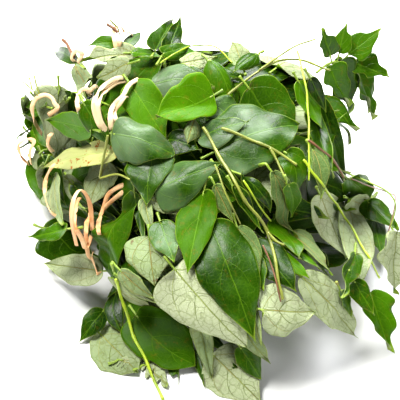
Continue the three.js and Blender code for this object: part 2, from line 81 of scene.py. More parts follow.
def area_light(name, place, aim, size, power, colour):
    data = bpy.data.lights.new(name, "AREA")
    data.shape, data.size, data.energy, data.color = "DISK", size, power, colour
    light = bpy.data.objects.new(name, data)
    light.location = place
    light.rotation_euler = (Vector(aim) - Vector(place)).to_track_quat("-Z", "Y").to_euler()
    bpy.context.scene.collection.objects.link(light)


def make_stage():
    world = bpy.data.worlds.new("studio")
    world.use_nodes = True
    world.node_tree.nodes["Background"].inputs["Color"].default_value = (1.0, 1.0, 1.0, 1)
    world.node_tree.nodes["Background"].inputs["Strength"].default_value = 0.075
    bpy.context.scene.world = world
    bpy.context.scene.view_settings.view_transform = "Standard"
    middle = (0, 0, 0.08)
    area_light("sky_light", (-0.6, 0.1, 1.45), middle, 0.6, 45, (1.0, 1.0, 0.96))
    area_light("back_light", (0.1, 0.95, 1.35), middle, 0.9, 68, (0.97, 0.98, 1.0))
    area_light("front_light", (0.9, -1.3, 0.5), middle, 1.0, 12, (1.0, 1.0, 0.98))
    floor = bpy.data.meshes.new("floor")
    floor.from_pydata([(-4, -4, 0), (4, -4, 0), (4, 4, 0), (-4, 4, 0)], [], [(0, 1, 2, 3)])
    board = bpy.data.objects.new("floor", floor)
    bpy.context.scene.collection.objects.link(board)
    paint = Look("pale_floor", Roughness=0.9)
    paint.colour((0.86, 0.86, 0.86))
    floor.materials.append(paint.material)


# ------------------------------------------------------------------ materials


def linear(red, green, blue):
    """A colour given as it looks on a screen, 0 to 255, in the linear values that shaders use."""
    shares = [value / 255 for value in (red, green, blue)]
    return tuple(s / 12.92 if s < 0.04045 else ((s + 0.055) / 1.055) ** 2.4 for s in shares)


class Look:
    """A material's nodes, each made by a short call that returns its output socket."""

    def __init__(self, name, **sockets):
        self.material = bpy.data.materials.new(name)
        self.material.use_nodes = True
        self.tree = self.material.node_tree
        self.surface = self.tree.nodes["Principled BSDF"]
        for socket, value in sockets.items():
            self.put(self.surface, socket.replace("_", " "), value)

    def put(self, node, key, value):
        """Links a node's input to a socket, or sets it to a constant."""
        socket = node.inputs[key]
        if isinstance(value, bpy.types.NodeSocket):
            self.tree.links.new(value, socket)
        else:
            socket.default_value = (*value, 1) if socket.type == "RGBA" else value

    def node(self, kind, inputs=(), **settings):
        made = self.tree.nodes.new("ShaderNode" + kind)
        for name, value in settings.items():
            setattr(made, name, value)
        for key, value in dict(inputs).items():
            self.put(made, key, value)
        return made

    def math(self, operation, *values, clamp=False):
        return self.node("Math", dict(enumerate(values)), operation=operation, use_clamp=clamp).outputs[0]

    def plus(self, first, second):
        return self.math("ADD", first, second)

    def times(self, first, second):
        return self.math("MULTIPLY", first, second)

    def centred(self, value):
        return self.math("SUBTRACT", value, 0.5)

    def band(self, value, low, high):
        """0 where value is at low, 1 where it is at high, smooth in between."""
        inputs = {"Value": value, "From Min": low, "From Max": high}
        return self.node("MapRange", inputs, interpolation_type="SMOOTHSTEP").outputs[0]

    def patchy(self, value, patches, strength):
        """A value that varies by patches, kept between 0 and 1."""
        return self.math("ADD", value, self.times(self.centred(patches), strength), clamp=True)

    def vector(self, operation, first, second):
        return self.node("VectorMath", {0: first, 1: second}, operation=operation).outputs[0]

    def attribute(self, name):
        return self.node("Attribute", attribute_name=name)

    def place(self):
        return self.attribute("place").outputs["Vector"]

    def parts(self, name):
        vector = self.attribute(name).outputs["Vector"]
        return self.node("SeparateXYZ", {0: vector}).outputs

    def noise(self, place, scale, detail, roughness=0.5):
        inputs = {"Vector": place, "Scale": scale, "Detail": detail, "Roughness": roughness}
        return self.node("TexNoise", inputs).outputs[0]

    def net(self, place, scale, low, high):
        """The lines between cells."""
        cells = self.node("TexVoronoi", {"Vector": place, "Scale": scale}, feature="DISTANCE_TO_EDGE")
        return self.band(cells.outputs["Distance"], low, high)

    def mix(self, factor, first, second):
        return self.node("Mix", {0: factor, 6: first, 7: second}, data_type="RGBA").outputs[2]

    def over(self, under, mask, share, colour):
        """A colour laid over another by a share of a mask."""
        return self.mix(self.times(mask, share), under, colour)

    def rim(self, under, share, colour):
        """A colour laid along the blade's margin."""
        return self.over(under, self.band(self.attribute("margin").outputs["Fac"], 0.7, 0.2), share, colour)

    def colour(self, value):
        self.put(self.surface, "Base Color", value)

    def roughness(self, least, more, share):
        self.put(self.surface, "Roughness", self.plus(least, self.times(more, share)))

    def bump(self, height, distance, strength):
        bump = self.node("Bump", {"Height": height, "Distance": distance, "Strength": strength})
        self.put(self.surface, "Normal", bump.outputs[0])

    def vein_relief(self, ribs, coarse, fine):
        """Veins that stand out by the heights ribs, coarse and fine, each a mask and its share."""
        relief = self.plus(self.times(*ribs), self.times(*coarse))
        return self.plus(relief, self.times(*fine))


def leaf_veins(look):
    """Masks of a blade's main ribs and of its net of small veins, and the place on the blade."""
    across, number, spacing = look.parts("ribs")[:3]
    place = look.place()
    wobble = look.centred(look.noise(place, 0.09, 2))
    middle = look.math("ABSOLUTE", look.plus(across, wobble))
    number = look.plus(number, look.times(wobble, 0.12))
    between = look.centred(look.math("FRACT", look.plus(number, 0.5)))
    side = look.times(look.math("ABSOLUTE", between), spacing)
    side = look.times(look.band(side, 0.62, 0.2), look.band(number, -0.4, -0.1))
    ribs = look.math("MAXIMUM", look.band(middle, 0.8, 0.3), side)
    turn = look.node("TexNoise", {"Vector": place, "Scale": 0.12}).outputs["Color"]
    bent = look.vector("ADD", place, look.vector("MULTIPLY", turn, (5.0, 5.0, 5.0)))
    return ribs, look.net(bent, 0.11, 0.05, 0.015), look.net(bent, 0.3, 0.10, 0.02), place


DEEP_GREEN, YOUNG_GREEN, FADED_YELLOW = linear(9, 36, 0), linear(72, 122, 0), linear(190, 188, 124)
# The first colour here is a painted sheen: the grey reflection of the light above, mixed into leaves that
# face up.
PAINTED_SHEEN_GREY, UPPER_VEIN, UPPER_RIM = linear(128, 152, 116), linear(120, 166, 30), linear(150, 175, 50)
RUST, SPECK = linear(150, 90, 30), linear(120, 85, 35)


def leaf_look(name, specular, least_roughness):
    """The glossy upper side. tint.x runs from deep to young green, tint.y is the amount of blemish, and
    tint.z that of yellow, or below 0 that of a painted grey sheen, the light's reflection painted into the
    colour."""
    look = Look(name, Specular_IOR_Level=specular)
    ribs, coarse, fine, place = leaf_veins(look)
    tint = look.parts("tint")
    shade = look.patchy(tint[0], look.noise(place, 0.03, 4, 0.6), 0.7)
    green = look.mix(shade, DEEP_GREEN, YOUNG_GREEN)
    green = look.mix(look.math("MAXIMUM", tint[2], 0.0), green, FADED_YELLOW)
    # Painted sheen: patches of the upper side turned grey, as a reflection of the light above, painted into
    # the colour.
    spread = look.band(look.noise(place, 0.022, 2), 0.37, 0.62)
    bloom = look.math("MULTIPLY", look.times(tint[2], -1.0), spread, clamp=True)
    green = look.mix(bloom, green, PAINTED_SHEEN_GREY)
    for mask, share in ((fine, 0.05), (coarse, 0.04), (ribs, 0.2)):
        green = look.over(green, mask, share, UPPER_VEIN)
    green = look.rim(green, 0.35, UPPER_RIM)
    spots = look.band(look.noise(place, 0.2, 3, 0.7), 0.56, 0.62)
    spread = look.band(look.noise(place, 0.05, 2), 0.45, 0.55)
    marks = look.times(look.times(spots, spread), tint[1])
    green = look.mix(marks, green, RUST)
    look.colour(look.over(green, look.band(look.noise(place, 0.5, 1), 0.78, 0.84), 0.6, SPECK))
    rough = look.plus(least_roughness, look.times(look.noise(place, 0.06, 4, 0.7), 0.22))
    look.roughness(rough, marks, 0.2)
    relief = look.vein_relief((ribs, -0.6), (coarse, -0.12), (fine, -0.06))
    relief = look.plus(relief, look.times(look.noise(place, 0.1, 3), 0.9))
    look.bump(relief, 0.45 * MM, 0.8)
    return look.material


PALE_GREEN, SHADED_GREEN, UNDER_RIM = linear(172, 180, 144), linear(80, 106, 52), linear(150, 170, 80)
FINE_VEIN, COARSE_VEIN, UNDER_RIB = linear(130, 148, 84), linear(98, 112, 40), linear(98, 114, 34)
BROWN_BLOTCH = linear(92, 70, 42)


def underside_look():
    """The pale matt underside with green and brown veins: tint.x darkens it, by tone that differs from leaf
    to leaf and, on dusky leaves, by painted shade; tint.y is the blemish.
    """
    look = Look("leaf_underside", Specular_IOR_Level=0.12)
    ribs, coarse, fine, place = leaf_veins(look)
    tint = look.parts("tint")
    patches = look.noise(place, 0.035, 4, 0.6)
    pale = look.mix(look.patchy(tint[0], patches, 0.5), PALE_GREEN, SHADED_GREEN)
    pale = look.over(pale, fine, 0.3, FINE_VEIN)
    pale = look.over(pale, coarse, 0.36, COARSE_VEIN)
    pale = look.over(pale, ribs, 0.75, UNDER_RIB)
    pale = look.rim(pale, 0.5, UNDER_RIM)
    blotch = look.band(look.noise(place, 0.05, 5, 0.7), 0.54, 0.64)
    dots = look.band(look.noise(place, 0.32, 2, 0.6), 0.66, 0.74)
    marks = look.math("MAXIMUM", blotch, look.times(dots, 0.6))
    look.colour(look.over(pale, marks, tint[1], BROWN_BLOTCH))
    look.roughness(0.52, patches, 0.2)
    look.bump(look.vein_relief((ribs, 1.0), (coarse, 0.6), (fine, 0.3)), 0.5 * MM, 0.9)
    return look.material


def stem_look(name, light, dark, woody):
    """Stalks and stems: stripes along them, brown at the joints and in patches."""
    look = Look(name, Specular_IOR_Level=0.45)
    place = look.place()
    stripes = look.noise(look.vector("MULTIPLY", place, (0.05, 1.2, 1.0)), 1.0, 2)
    patches = look.noise(place, 0.05, 4, 0.65)
    green = look.mix(look.band(stripes, 0.35, 0.65), linear(*light), linear(*dark))
    amount = look.band(look.plus(patches, look.parts("tint")[1]), 0.62, 0.9)
    look.colour(look.mix(amount, green, linear(*woody)))
    look.roughness(0.42, amount, 0.25)
    look.bump(look.plus(stripes, look.times(look.noise(place, 0.6, 3), 0.6)), 0.35 * MM, 0.7)
    return look.material


CREAM, ORANGE_BROWN = linear(240, 200, 150), linear(214, 140, 78)
# The second colour is a painted highlight: the near-white of strips where the light falls strongest.
FIBRE_BROWN, PAINTED_HIGHLIGHT_CREAM = linear(176, 104, 52), linear(238, 216, 174)


def strip_look():
    """A dry palm strip: long fibres in patches of cream and orange-brown. tint.x is the amount of painted
    highlight, a whitening towards pale cream.
    """
    look = Look("palm_strip", Specular_IOR_Level=0.35)
    place = look.place()
    fibres = look.noise(look.vector("MULTIPLY", place, (0.02, 2.2, 1.0)), 1.0, 4, 0.7)
    tan = look.mix(look.band(look.noise(place, 0.035, 3, 0.6), 0.35, 0.7), CREAM, ORANGE_BROWN)
    tan = look.over(tan, look.band(fibres, 0.45, 0.7), 0.55, FIBRE_BROWN)
    look.colour(look.mix(look.parts("tint")[0], tan, PAINTED_HIGHLIGHT_CREAM))
    look.roughness(0.45, fibres, 0.25)
    look.bump(fibres, 0.35 * MM, 0.8)
    return look.material


# ------------------------------------------------------------------ the heap as a field of directions


def unit(vectors):
    return vectors / np.maximum(np.linalg.norm(vectors, axis=-1, keepdims=True), 1e-9)


def line_length(path):
    """How far each point of a path lies along it."""
    return np.concatenate([[0], np.cumsum(np.linalg.norm(np.diff(path, axis=0), axis=1))])


def blurred(values, passes=1):
    """Values of a grid, each averaged with its neighbours."""
    for _ in range(passes):
        for axis in (0, 1):
            padded = np.pad(values, [(1, 1) if a == axis else (0, 0) for a in (0, 1)], mode="edge")
            ahead = np.take(padded, range(2, padded.shape[axis]), axis)
            behind = np.take(padded, range(padded.shape[axis] - 2), axis)
            values = 0.5 * values + 0.25 * (ahead + behind)
    return values


class Field:
    """How far from the origin the pile reaches, in mm, on an equal-area map of all upward directions."""

    size = 190
    edge = 1.5  # the map runs from -edge to edge both ways, past the horizon, which is a circle of 1.41
    lowest = 1.45  # the circle of the lowest directions that are used, just below the horizon

    def __init__(self, reach):
        self.top = np.zeros((self.size, self.size)) + reach

    def on_map(self, points):
        ways = unit(points)
        radius = np.sqrt(np.maximum(2 * (1 - ways[..., 2]), 0))
        flat = np.maximum(np.hypot(ways[..., 0], ways[..., 1]), 1e-9)
        return ways[..., 0] / flat * radius, ways[..., 1] / flat * radius

    def reach_of(self, points):
        return np.linalg.norm(points, axis=-1)

    def cells(self, points):
        scale = (self.size - 1) / (2 * self.edge)
        return ((np.clip(value, -self.edge, self.edge) + self.edge) * scale for value in self.on_map(points))

    def directions(self):
        line = np.linspace(-self.edge, self.edge, self.size)
        x, y = np.meshgrid(line, line, indexing="ij")
        radius = np.minimum(np.hypot(x, y), self.lowest)
        z = 1 - radius**2 / 2
        flat = np.sqrt(np.maximum(1 - z**2, 0)) / np.maximum(np.hypot(x, y), 1e-9)
        return np.stack([x * flat, y * flat, z], -1)

    def at(self, points):
        i, j = self.cells(points)
        low_i = np.minimum(i.astype(int), self.size - 2)
        low_j = np.minimum(j.astype(int), self.size - 2)
        u, v = i - low_i, j - low_j
        first = self.top[low_i, low_j] * (1 - v) + self.top[low_i, low_j + 1] * v
        second = self.top[low_i + 1, low_j] * (1 - v) + self.top[low_i + 1, low_j + 1] * v
        return first * (1 - u) + second * u

    def mark(self, points, greater):
        """Takes in points: with greater the field rises to them, without it falls to them."""
        i, j = self.cells(points)
        choice = np.maximum if greater else np.minimum
        for shift_i, shift_j in ((0, 0), (0, 1), (1, 0), (1, 1)):
            row = np.minimum(i.astype(int) + shift_i, self.size - 1)
            column = np.minimum(j.astype(int) + shift_j, self.size - 1)
            choice.at(self.top, (row, column), self.reach_of(points))


class Curtain(Field):
    """How far from the camera's place leaves hang, in mm, on a map of what shows right of and above
    the target."""

    edge = 280

    def on_map(self, points):
        ways = points - EYE
        ways = ways * (CAMERA_DISTANCE / -(ways @ CAMERA_OUT))[..., None]
        return ways[..., 0], (EYE + ways - TARGET) @ CAMERA_UP

    def reach_of(self, points):
        return np.linalg.norm(points - EYE, axis=-1)


def mesh_arrays(name):
    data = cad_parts[name].data
    points = np.zeros(len(data.vertices) * 3)
    data.vertices.foreach_get("co", points)
    return points.reshape(-1, 3) / MM, [tuple(face.vertices) for face in data.polygons]


def tree_of(names):
    points, faces = [], []
    for name in names:
        more, sides = mesh_arrays(name)
        faces += [tuple(index + len(points) for index in side) for side in sides]
        points += more.tolist()
    return BVHTree.FromPolygons(points, faces)


BUNCHES = [f"bunch_{number:02d}" for number in range(1, 13)]
FREE = 400.0  # past the farthest point of the pile: the ceiling where nothing lies above
LEAST_REACH = 60  # a direction in which the bunches reach less than this is a gap between them


def start_field():
    """The field of the bunches' solids, with gaps between them closed."""
    field = Field(0.0)
    tree = tree_of([f"{name}_leaves" for name in BUNCHES])
    ways = field.directions()
    for index in np.ndindex(field.size, field.size):
        way = Vector(ways[index])
        hit = tree.ray_cast(way * FREE, -way, FREE)
        field.top[index] = FREE - hit[3] if hit[0] else 0
    for _ in range(40):
        gaps = field.top < LEAST_REACH
        if not gaps.any():
            break
        known = np.where(gaps, 0, 1.0)
        near = blurred(known * field.top, 2) / np.maximum(blurred(known, 2), 1e-6)
        field.top[gaps] = near[gaps]
    return field


def loose_growth(ways):
    """How far the loose outer leaves stand out from the tied bunches, in mm, by direction."""
    x, y, z = np.moveaxis(ways, -1, 0)
    to_right, to_left = np.clip(x, 0, 1), np.clip(-x, 0, 1)
    behind = np.clip(0.6 + 1.6 * y, 0, 1)
    return 5 + 40 * to_right + 30 * to_left * behind + 13 * np.clip(y, 0, 1) + 14 * np.clip(z, 0, 1) ** 3


CAD_LOW, CAD_HIGH = np.array(cad_box) / MM
LOWEST, HIGHEST = CAD_LOW - (16, 16, 0), CAD_HIGH + (16, 16, 5)  # where blades may lie
INSET = 6  # of the heap's smooth surface in the CAD box, for the blades' own forms


def room(ways):
    """How far the heap may reach in each direction inside the CAD box."""
    sides = np.where(ways < 0, CAD_LOW, CAD_HIGH)
    return (np.abs(sides) / np.maximum(np.abs(ways), 1e-3)).min(-1)


heap = Field(0.0)  # the heap without its details
grown = blurred(start_field().top, 6) + loose_growth(heap.directions())
heap.top = np.minimum(grown, room(heap.directions()) - INSET)
skin = Field(0.0)  # the outermost surface of what is laid
skin.top = heap.top - 10
ceiling = Field(FREE)  # the innermost surface of what is laid; leaves are laid from the outside in
curtain = Curtain(0.0)  # the farthest from the camera's place of what is laid and faces it


def heap_normal(points, step=6.0):
    """Outward direction of the smooth heap at points."""
    slopes = []
    for axis in np.eye(3) * step:
        ahead, behind = (np.linalg.norm(p, axis=-1) - heap.at(p) for p in (points + axis, points - axis))
        slopes.append(ahead - behind)
    return unit(np.stack(slopes, -1))


def seen(right, up, lift=0.0, surface=heap):
    """The place on the pile that shows this far right of and above the target, as the camera sees it."""
    aim = TARGET + np.array([right, 0, 0]) + up * CAMERA_UP
    along = np.arange(480.0, 1330.0, 2.0)  # mm from the camera, through the whole pile
    points = EYE + unit(aim - EYE) * along[:, None]
    points = points[points[:, 2] > 0.5]
    clear = np.linalg.norm(points, axis=1) - surface.at(points) - lift
    inside = np.nonzero(clear < 0)[0]
    return points[inside[0]] if len(inside) else points[np.argmin(clear)]


# ------------------------------------------------------------------ leaf blades


def resampling(count, wanted):
    """Weights that turn count values along a line into wanted ones, on smooth curves through them."""
    weights = np.zeros((wanted, count))
    for row, place in enumerate(np.linspace(0, count - 1, wanted)):
        low = min(int(place), count - 2)
        t = place - low
        spline = (
            -0.5 * t + t**2 - 0.5 * t**3,
            1 - 2.5 * t**2 + 1.5 * t**3,
            0.5 * t + 2 * t**2 - 1.5 * t**3,
            -0.5 * t**2 + 0.5 * t**3,
        )
        for shift, weight in zip((-1, 0, 1, 2), spline):
            weights[row, min(max(low + shift, 0), count - 1)] += weight
    return weights


def rounded_foot(u):
    return np.sqrt(1 - (1 - np.minimum(u / 0.14, 1)) ** 2)


def outline(u, foot, point):
    """Half width of a blade along it, as a share of its greatest. foot says how broad its foot is, and
    point how drawn out its tip."""
    line = np.linspace(0, 1, 200)
    greatest = ((foot + 2.9 * line) * (1 - line) ** point).max()
    return (foot + 2.9 * u) * (1 - u) ** point / greatest * rounded_foot(u)


def blade_grid(rows, columns, shape):
    """Places on a flat blade: u from 0 at its foot to 1 at its tip, v from -1 to 1 across it, its half
    width, and mm along and across it."""
    u = np.linspace(0, 1, rows)[:, None] ** 1.25 * np.ones((1, columns))
    v = np.linspace(-1, 1, columns)[None, :] * np.ones((rows, 1))
    v = np.sign(v) * np.abs(v) ** 1.15
    half = outline(u, shape["foot"], shape["point"]) * shape["width"] / 2
    swept = shape["lobe"] * (1 - u) ** 3 * np.abs(v) ** 1.5 * rounded_foot(u)
    ripple = 1 + 0.03 * np.sin(u * 23 + shape["phase"] + np.sign(v)) * np.abs(v) ** 4
    ripple += shape["skew"] * np.sign(v) * np.sin(np.pi * u)
    bitten, depth = shape["bite"]
    ripple *= 1 - depth * np.clip(1 - np.abs(u - bitten) / 0.1, 0, 1) * (v > 0.3)
    along = shape["length"] * (u - swept)
    across = v * half * ripple + shape["sickle"] * shape["length"] * u**2
    return u, v, half, along, across


def draped(needed, passes):
    """The lowest smooth sheet over the heights needed; more passes make it stiffer."""
    sheet = needed
    for _ in range(passes):
        sheet = np.maximum(blurred(sheet), needed)
    sheet = blurred(sheet, 2)
    return sheet + 0.5 * max((needed - sheet).max(), 0)


# A blade's usual form; what is left out here is always given. Heights and lengths are in mm.
SHAPE = {
    "foot": 0.42, "lobe": 0.08, "point": 1.35, "sickle": 0.0, "skew": 0.0,  # outline: see blade_grid
    "bite": (0.5, 0.0),  # where along one margin a piece is missing, and how deep
    "stiff": 60, "gap": 1.2,  # how smoothly it drapes, and how far from the next blade
    "arch": 0.3, "puff": 0.35,  # height of each half, and between the veins
    "wave": 1.2, "waves": 2.2,  # height and number of the margin's waves
    "warp": 1.1,  # height of the slow swell of the whole blade
    "droop": 0.1, "bend": 0.1, "tip": 0.0,  # margins down, both ends down, tip up
    "fold": 0.0, "crease": 0.0,  # along the midrib, and on a line across the blade
}
VEINS = 3.2  # side veins on each side of the midrib
VEIN_ARCH = 0.3
OUTER_VEIN = 1.03  # where side veins would end, in half widths


def vein_number(u, side):
    """Whole numbers on the side veins, which leave the midrib in turn and arch towards the tip."""
    return VEINS * (u + VEIN_ARCH * np.log(1 - side / OUTER_VEIN))


def detail(shape, u, v, half, along, across):
    """Height of a blade's own form over the sheet it lies on."""
    side, length, phase = np.abs(v), shape["length"], shape["phase"]
    scale = min(length / 80, 1)
    own = shape["arch"] * (side * (1 - side)) * 4 * np.sin(np.pi * np.clip(u * 1.1, 0, 1)) ** 0.7
    waves = 1 + np.sin(shape["waves"] * 2 * np.pi * u + phase + 2 * np.sign(v))
    own += scale * shape["wave"] * side**2.5 * waves
    own += shape["fold"] * side * half * np.clip(1 - u, 0, 1) + shape["tip"] * u**3
    own -= shape["droop"] * half * side**2 + shape["bend"] * length * (u - 0.4) ** 2
    crease = (along - length * 0.45) * math.cos(phase) + across * math.sin(phase)
    own += shape["crease"] * np.sqrt(crease**2 + 0.8)
    for number, (swell, share) in enumerate(((72, 1.0), (43, 0.6), (27, 0.3))):
        turn = phase * (1 + number) + number
        place = (along * math.cos(turn) + across * math.sin(turn)) * 2 * math.pi / swell
        own += scale * shape["warp"] * share * (1 + np.sin(place + 2 * turn)) * (0.35 + 0.65 * side)
    nearest_vein = np.minimum(side, np.abs((vein_number(u, side) + 0.5) % 1 - 0.5))
    quilted = np.sin(u * length / 3.1 + 3 * v) * 0.35 + 1
    return own + shape["puff"] * np.minimum(nearest_vein / 0.16, 1) * quilted * (1 - u)


class Blade:
    """A leaf blade. It keeps the grid of its drape, so that meshes of any fineness can be made.

    A blade with facing hangs behind the curtain, as the camera sees it, and its own form stands out along
    facing. One without is laid under the ceiling, and its form stands out from the origin."""

    grid = 19, 11
    least_height = 0.8  # over the floor

    def __init__(self, base, shape, facing=None):
        self.shape = {**SHAPE, **shape}
        self.base, self.facing = base, facing
        self.lift, self.shift = np.zeros(self.grid), np.zeros(3)

    def lay(self):
        """Drapes the blade over what is already laid, and marks its place there."""
        points, facing = self.surface(*self.grid)[0], self.facing is not None
        if facing:
            needed = curtain.at(points) + self.shape["gap"] - curtain.reach_of(points)
        else:
            needed = ceiling.reach_of(points) + self.shape["gap"] - ceiling.at(points)
        self.lift = draped(np.maximum(needed, 0), self.shape["stiff"]) * (1 if facing else -1)
        laid = self.surface(52, 30)[0]
        self.shift = np.maximum(LOWEST - laid.min((0, 1)), 0) - np.maximum(laid.max((0, 1)) - HIGHEST, 0)
        laid = laid + self.shift
        skin.mark(laid, True)
        if not facing:
            ceiling.mark(laid, False)
        if facing or abs((grid_normals(laid) @ CAMERA_OUT).mean()) > 0.5:
            curtain.mark(laid, True)
        return self

    def surface(self, rows, columns):
        """The blade's middle sheet, with the shares and lengths of blade_grid."""
        u, v, half, along, across = blade_grid(rows, columns, self.shape)
        points = self.base(along, across)
        # the drape's grid is even in the row and column numbers, as the fine one is
        lift = resampling(self.grid[0], rows) @ self.lift @ resampling(self.grid[1], columns).T
        lift, own = lift[..., None], detail(self.shape, u, v, half, along, across)[..., None]
        if self.facing is None:
            points = points + unit(points) * (lift + own)
        else:
            points = points + unit(points - EYE) * lift + self.facing * own
        points = points + self.shift
        points[..., 2] = np.maximum(points[..., 2], self.least_height)
        return points, u, v, half, along, across


def flat_base(foot, tip, normal, cling):
    """A blade's base between two places, which keeps the share cling of its own flatness."""
    axis = unit(tip - foot)
    side = unit(np.cross(normal, axis))

    def base(along, across):
        points = foot + along[..., None] * axis + across[..., None] * side
        radius = np.linalg.norm(points, axis=-1)
        below = heap.at(points)
        return unit(points) * (below + cling * (radius - below))[..., None]

    return base


def midrib_of(points):
    """A leaf solid's foot and length, the way it points, and each point's distance along it."""
    apart = np.linalg.norm(points[:, None] - points[None], axis=-1)
    first, last = np.unravel_index(np.argmax(apart), apart.shape)
    start, end, length = points[first], points[last], apart[first, last]
    axis = (end - start) / length
    along = (points - start) @ axis
    off = np.linalg.norm(points - start - along[:, None] * axis, axis=1)
    if off[along > 0.8 * length].max() > off[along < 0.2 * length].max():  # the foot is the stalked end
        start, axis, along = end, -axis, length - along
    return start, length, axis, along


def node_base(name):
    """A loose leaf's base, its length and width, from its CAD node."""
    points, _ = mesh_arrays(name)
    start, length, axis, along = midrib_of(points)
    middle = points.mean(0)
    normal = np.linalg.svd(points - middle)[2][2]
    normal = normal * np.sign(normal @ middle)
    side = unit(np.cross(normal, axis))
    normal = np.cross(axis, side)
    across, height = (points - start) @ side, (points - start) @ normal
    bend = np.polyfit(along, across, 2)
    off = across - np.polyval(bend, along)
    reach = np.abs(off).max()
    foot = along[np.abs(off) > 0.3 * reach].min() + 0.05 * length

    def terms(a, b):
        a, b = a / length, b / length
        return np.stack([a * 0 + 1, a, b, a * a, a * b, b * b, a**3, a * a * b, a * b * b], -1)

    fit = np.linalg.lstsq(terms(along, across), height, rcond=None)[0]

    def base(a, b):
        a = a + foot
        b = b + np.polyval(bend, a)
        h = terms(a, b) @ fit
        return start + a[..., None] * axis + b[..., None] * side + h[..., None] * normal

    return base, length - foot, 2 * reach


# ------------------------------------------------------------------ meshes


class Shell:
    """Collects points, faces, materials and values for one mesh."""

    widths = {"place": 3, "ribs": 3, "tint": 3, "margin": 1}

    def __init__(self):
        self.points, self.faces, self.slots = [], [], []
        self.values = {name: [] for name in self.widths}
        self.count = 0

    def add(self, points, faces, slot, **values):
        self.points.append(np.asarray(points).reshape(-1, 3))
        total = len(self.points[-1])
        self.faces += [tuple(int(index) + self.count for index in face) for face in faces]
        self.slots += [slot] * len(faces)
        for name, width in self.widths.items():
            given = np.asarray(values.get(name, [0] * width), float).reshape(-1, width)
            self.values[name].append(np.broadcast_to(given, (total, width)))
        self.count += total

    def build(self, name, materials):
        mesh = bpy.data.meshes.new(name)
        mesh.from_pydata((np.concatenate(self.points) * MM).tolist(), [], self.faces)
        for key, width in self.widths.items():
            kind, field = ("FLOAT", "value") if width == 1 else ("FLOAT_VECTOR", "vector")
            made = mesh.attributes.new(key, kind, "POINT")
            made.data.foreach_set(field, np.concatenate(self.values[key]).ravel())
        for material in materials:
            mesh.materials.append(material)
        mesh.polygons.foreach_set("material_index", self.slots)
        mesh.polygons.foreach_set("use_smooth", [True] * len(mesh.polygons))
        mesh.validate()
        mesh.update()
        piece = bpy.data.objects.new(name, mesh)
        bpy.context.scene.collection.objects.link(piece)
        return piece


def grid_faces(rows, columns, flip=False):
    corner = (np.arange(rows - 1)[:, None] * columns + np.arange(columns - 1)).ravel()
    faces = np.stack([corner, corner + 1, corner + columns + 1, corner + columns], -1)
    return faces[:, ::-1] if flip else faces


def grid_normals(points):
    along = np.gradient(points, axis=0)
    across = np.gradient(points, axis=1)
    across[0] = across[1]
    return unit(np.cross(along, across))


UPPER, UNDER, RIB, STALK = range(4)  # the places in a leaf's list of materials
THICKNESS = 0.5


def add_rim(shell, rows, columns, slot, turned):
    """Faces that join the margins of the two sides added last."""
    total = rows * columns
    index = np.arange(total).reshape(rows, columns) + shell.count - 2 * total
    ring = [*index[:, 0], *index[-1, 1:], *index[-2::-1, -1], *index[0, -2:0:-1]]
    for first, second in zip(ring, ring[1:] + ring[:1]):
        face = tuple(int(corner) for corner in (first, second, total + second, total + first))
        shell.faces.append(face[::-1] if turned else face)
    shell.slots += [slot] * len(ring)


def add_blade(shell, blade, rows, columns, upper_out, tint, seed, ribs=True, out=None):
    """Both sides of a blade and its rim. upper_out says which side faces out of the pile."""
    points, u, v, half, along, across = blade.surface(rows, columns)
    normals = grid_normals(points)
    outward = np.sign((normals * (points if out is None else out)).sum(-1).mean())
    normals = normals * outward
    side, length = np.abs(v), blade.shape["length"]
    offset = normals * (THICKNESS / 2 * (1 - 0.5 * side[..., None] ** 6))
    values = {
        "place": np.stack([along, across, np.full_like(along, seed)], -1),
        "ribs": np.stack([v * half, vein_number(u, side), np.full_like(along, length / VEINS)], -1),
        "margin": np.minimum((1 - side) * half, (1 - u) * length),
        "tint": tint,
    }
    near, far = (UPPER, UNDER) if upper_out else (UNDER, UPPER)
    turned = outward < 0
    shell.add(points + offset, grid_faces(rows, columns, flip=turned), near, **values)
    shell.add(points - offset, grid_faces(rows, columns, flip=not turned), far, **values)
    add_rim(shell, rows, columns, near, turned)
    if ribs and not upper_out:
        add_ribs(shell, points + offset, v, u, tint, seed)
    return points, normals


def add_ribs(shell, surface, v, u, tint, seed):
    """The raised midrib and the lowest pair of side veins of the underside."""
    rows, columns = surface.shape[:2]
    for end, thick, last in ((0.0, 0.5, 0.97), (OUTER_VEIN, 0.24, 0.85), (-OUTER_VEIN, 0.24, 0.85)):
        path = []
        for row in range(1, int(rows * last)):
            grown = abs(end) * (1 - math.exp(-u[row, 0] / VEIN_ARCH))
            place = np.interp(math.copysign(grown, end), v[0], np.arange(columns))
            low = min(int(place), columns - 2)
            path.append(surface[row, low] * (1 - place + low) + surface[row, low + 1] * (place - low))
        path = np.array(path)[:: max(1, len(path) // 22)]
        add_tube(shell, path, thick * np.linspace(1, 0.3, len(path)), RIB, 5, tint, seed)


def add_tube(shell, path, radii, slot, sides, tint, seed):
    """A round tube along a path, closed at both ends."""
    path = np.asarray(path)
    count = len(path)
    angles = np.arange(sides) * 2 * math.pi / sides
    side = np.array([0.31, 0.22, 0.92])
    rings = []
    for point, tangent, radius in zip(path, unit(np.gradient(path, axis=0)), radii):
        side = unit(side - tangent * (side @ tangent))
        other = np.cross(tangent, side)
        rings.append(point + radius * (np.cos(angles)[:, None] * side + np.sin(angles)[:, None] * other))
    points = np.concatenate([*rings, path[:1], path[-1:]])
    first_cap, last_cap, last_ring = count * sides, count * sides + 1, (count - 1) * sides
    pairs = [(step, (step + 1) % sides) for step in range(sides)]
    faces = [(ring + step, ring + ahead, ring + sides + ahead, ring + sides + step)
             for ring in range(0, last_ring, sides) for step, ahead in pairs]
    for step, ahead in pairs:
        faces += [(first_cap, ahead, step), (last_cap, last_ring + step, last_ring + ahead)]
    gone = line_length(path)
    around = angles * np.mean(radii)
    place = np.stack([np.repeat(gone, sides), np.tile(around, count), np.full(first_cap, seed)], -1)
    place = np.concatenate([place, [(0, 0, seed), (gone[-1], 0, seed)]])
    shell.add(points, faces, slot, place=place, tint=tint)


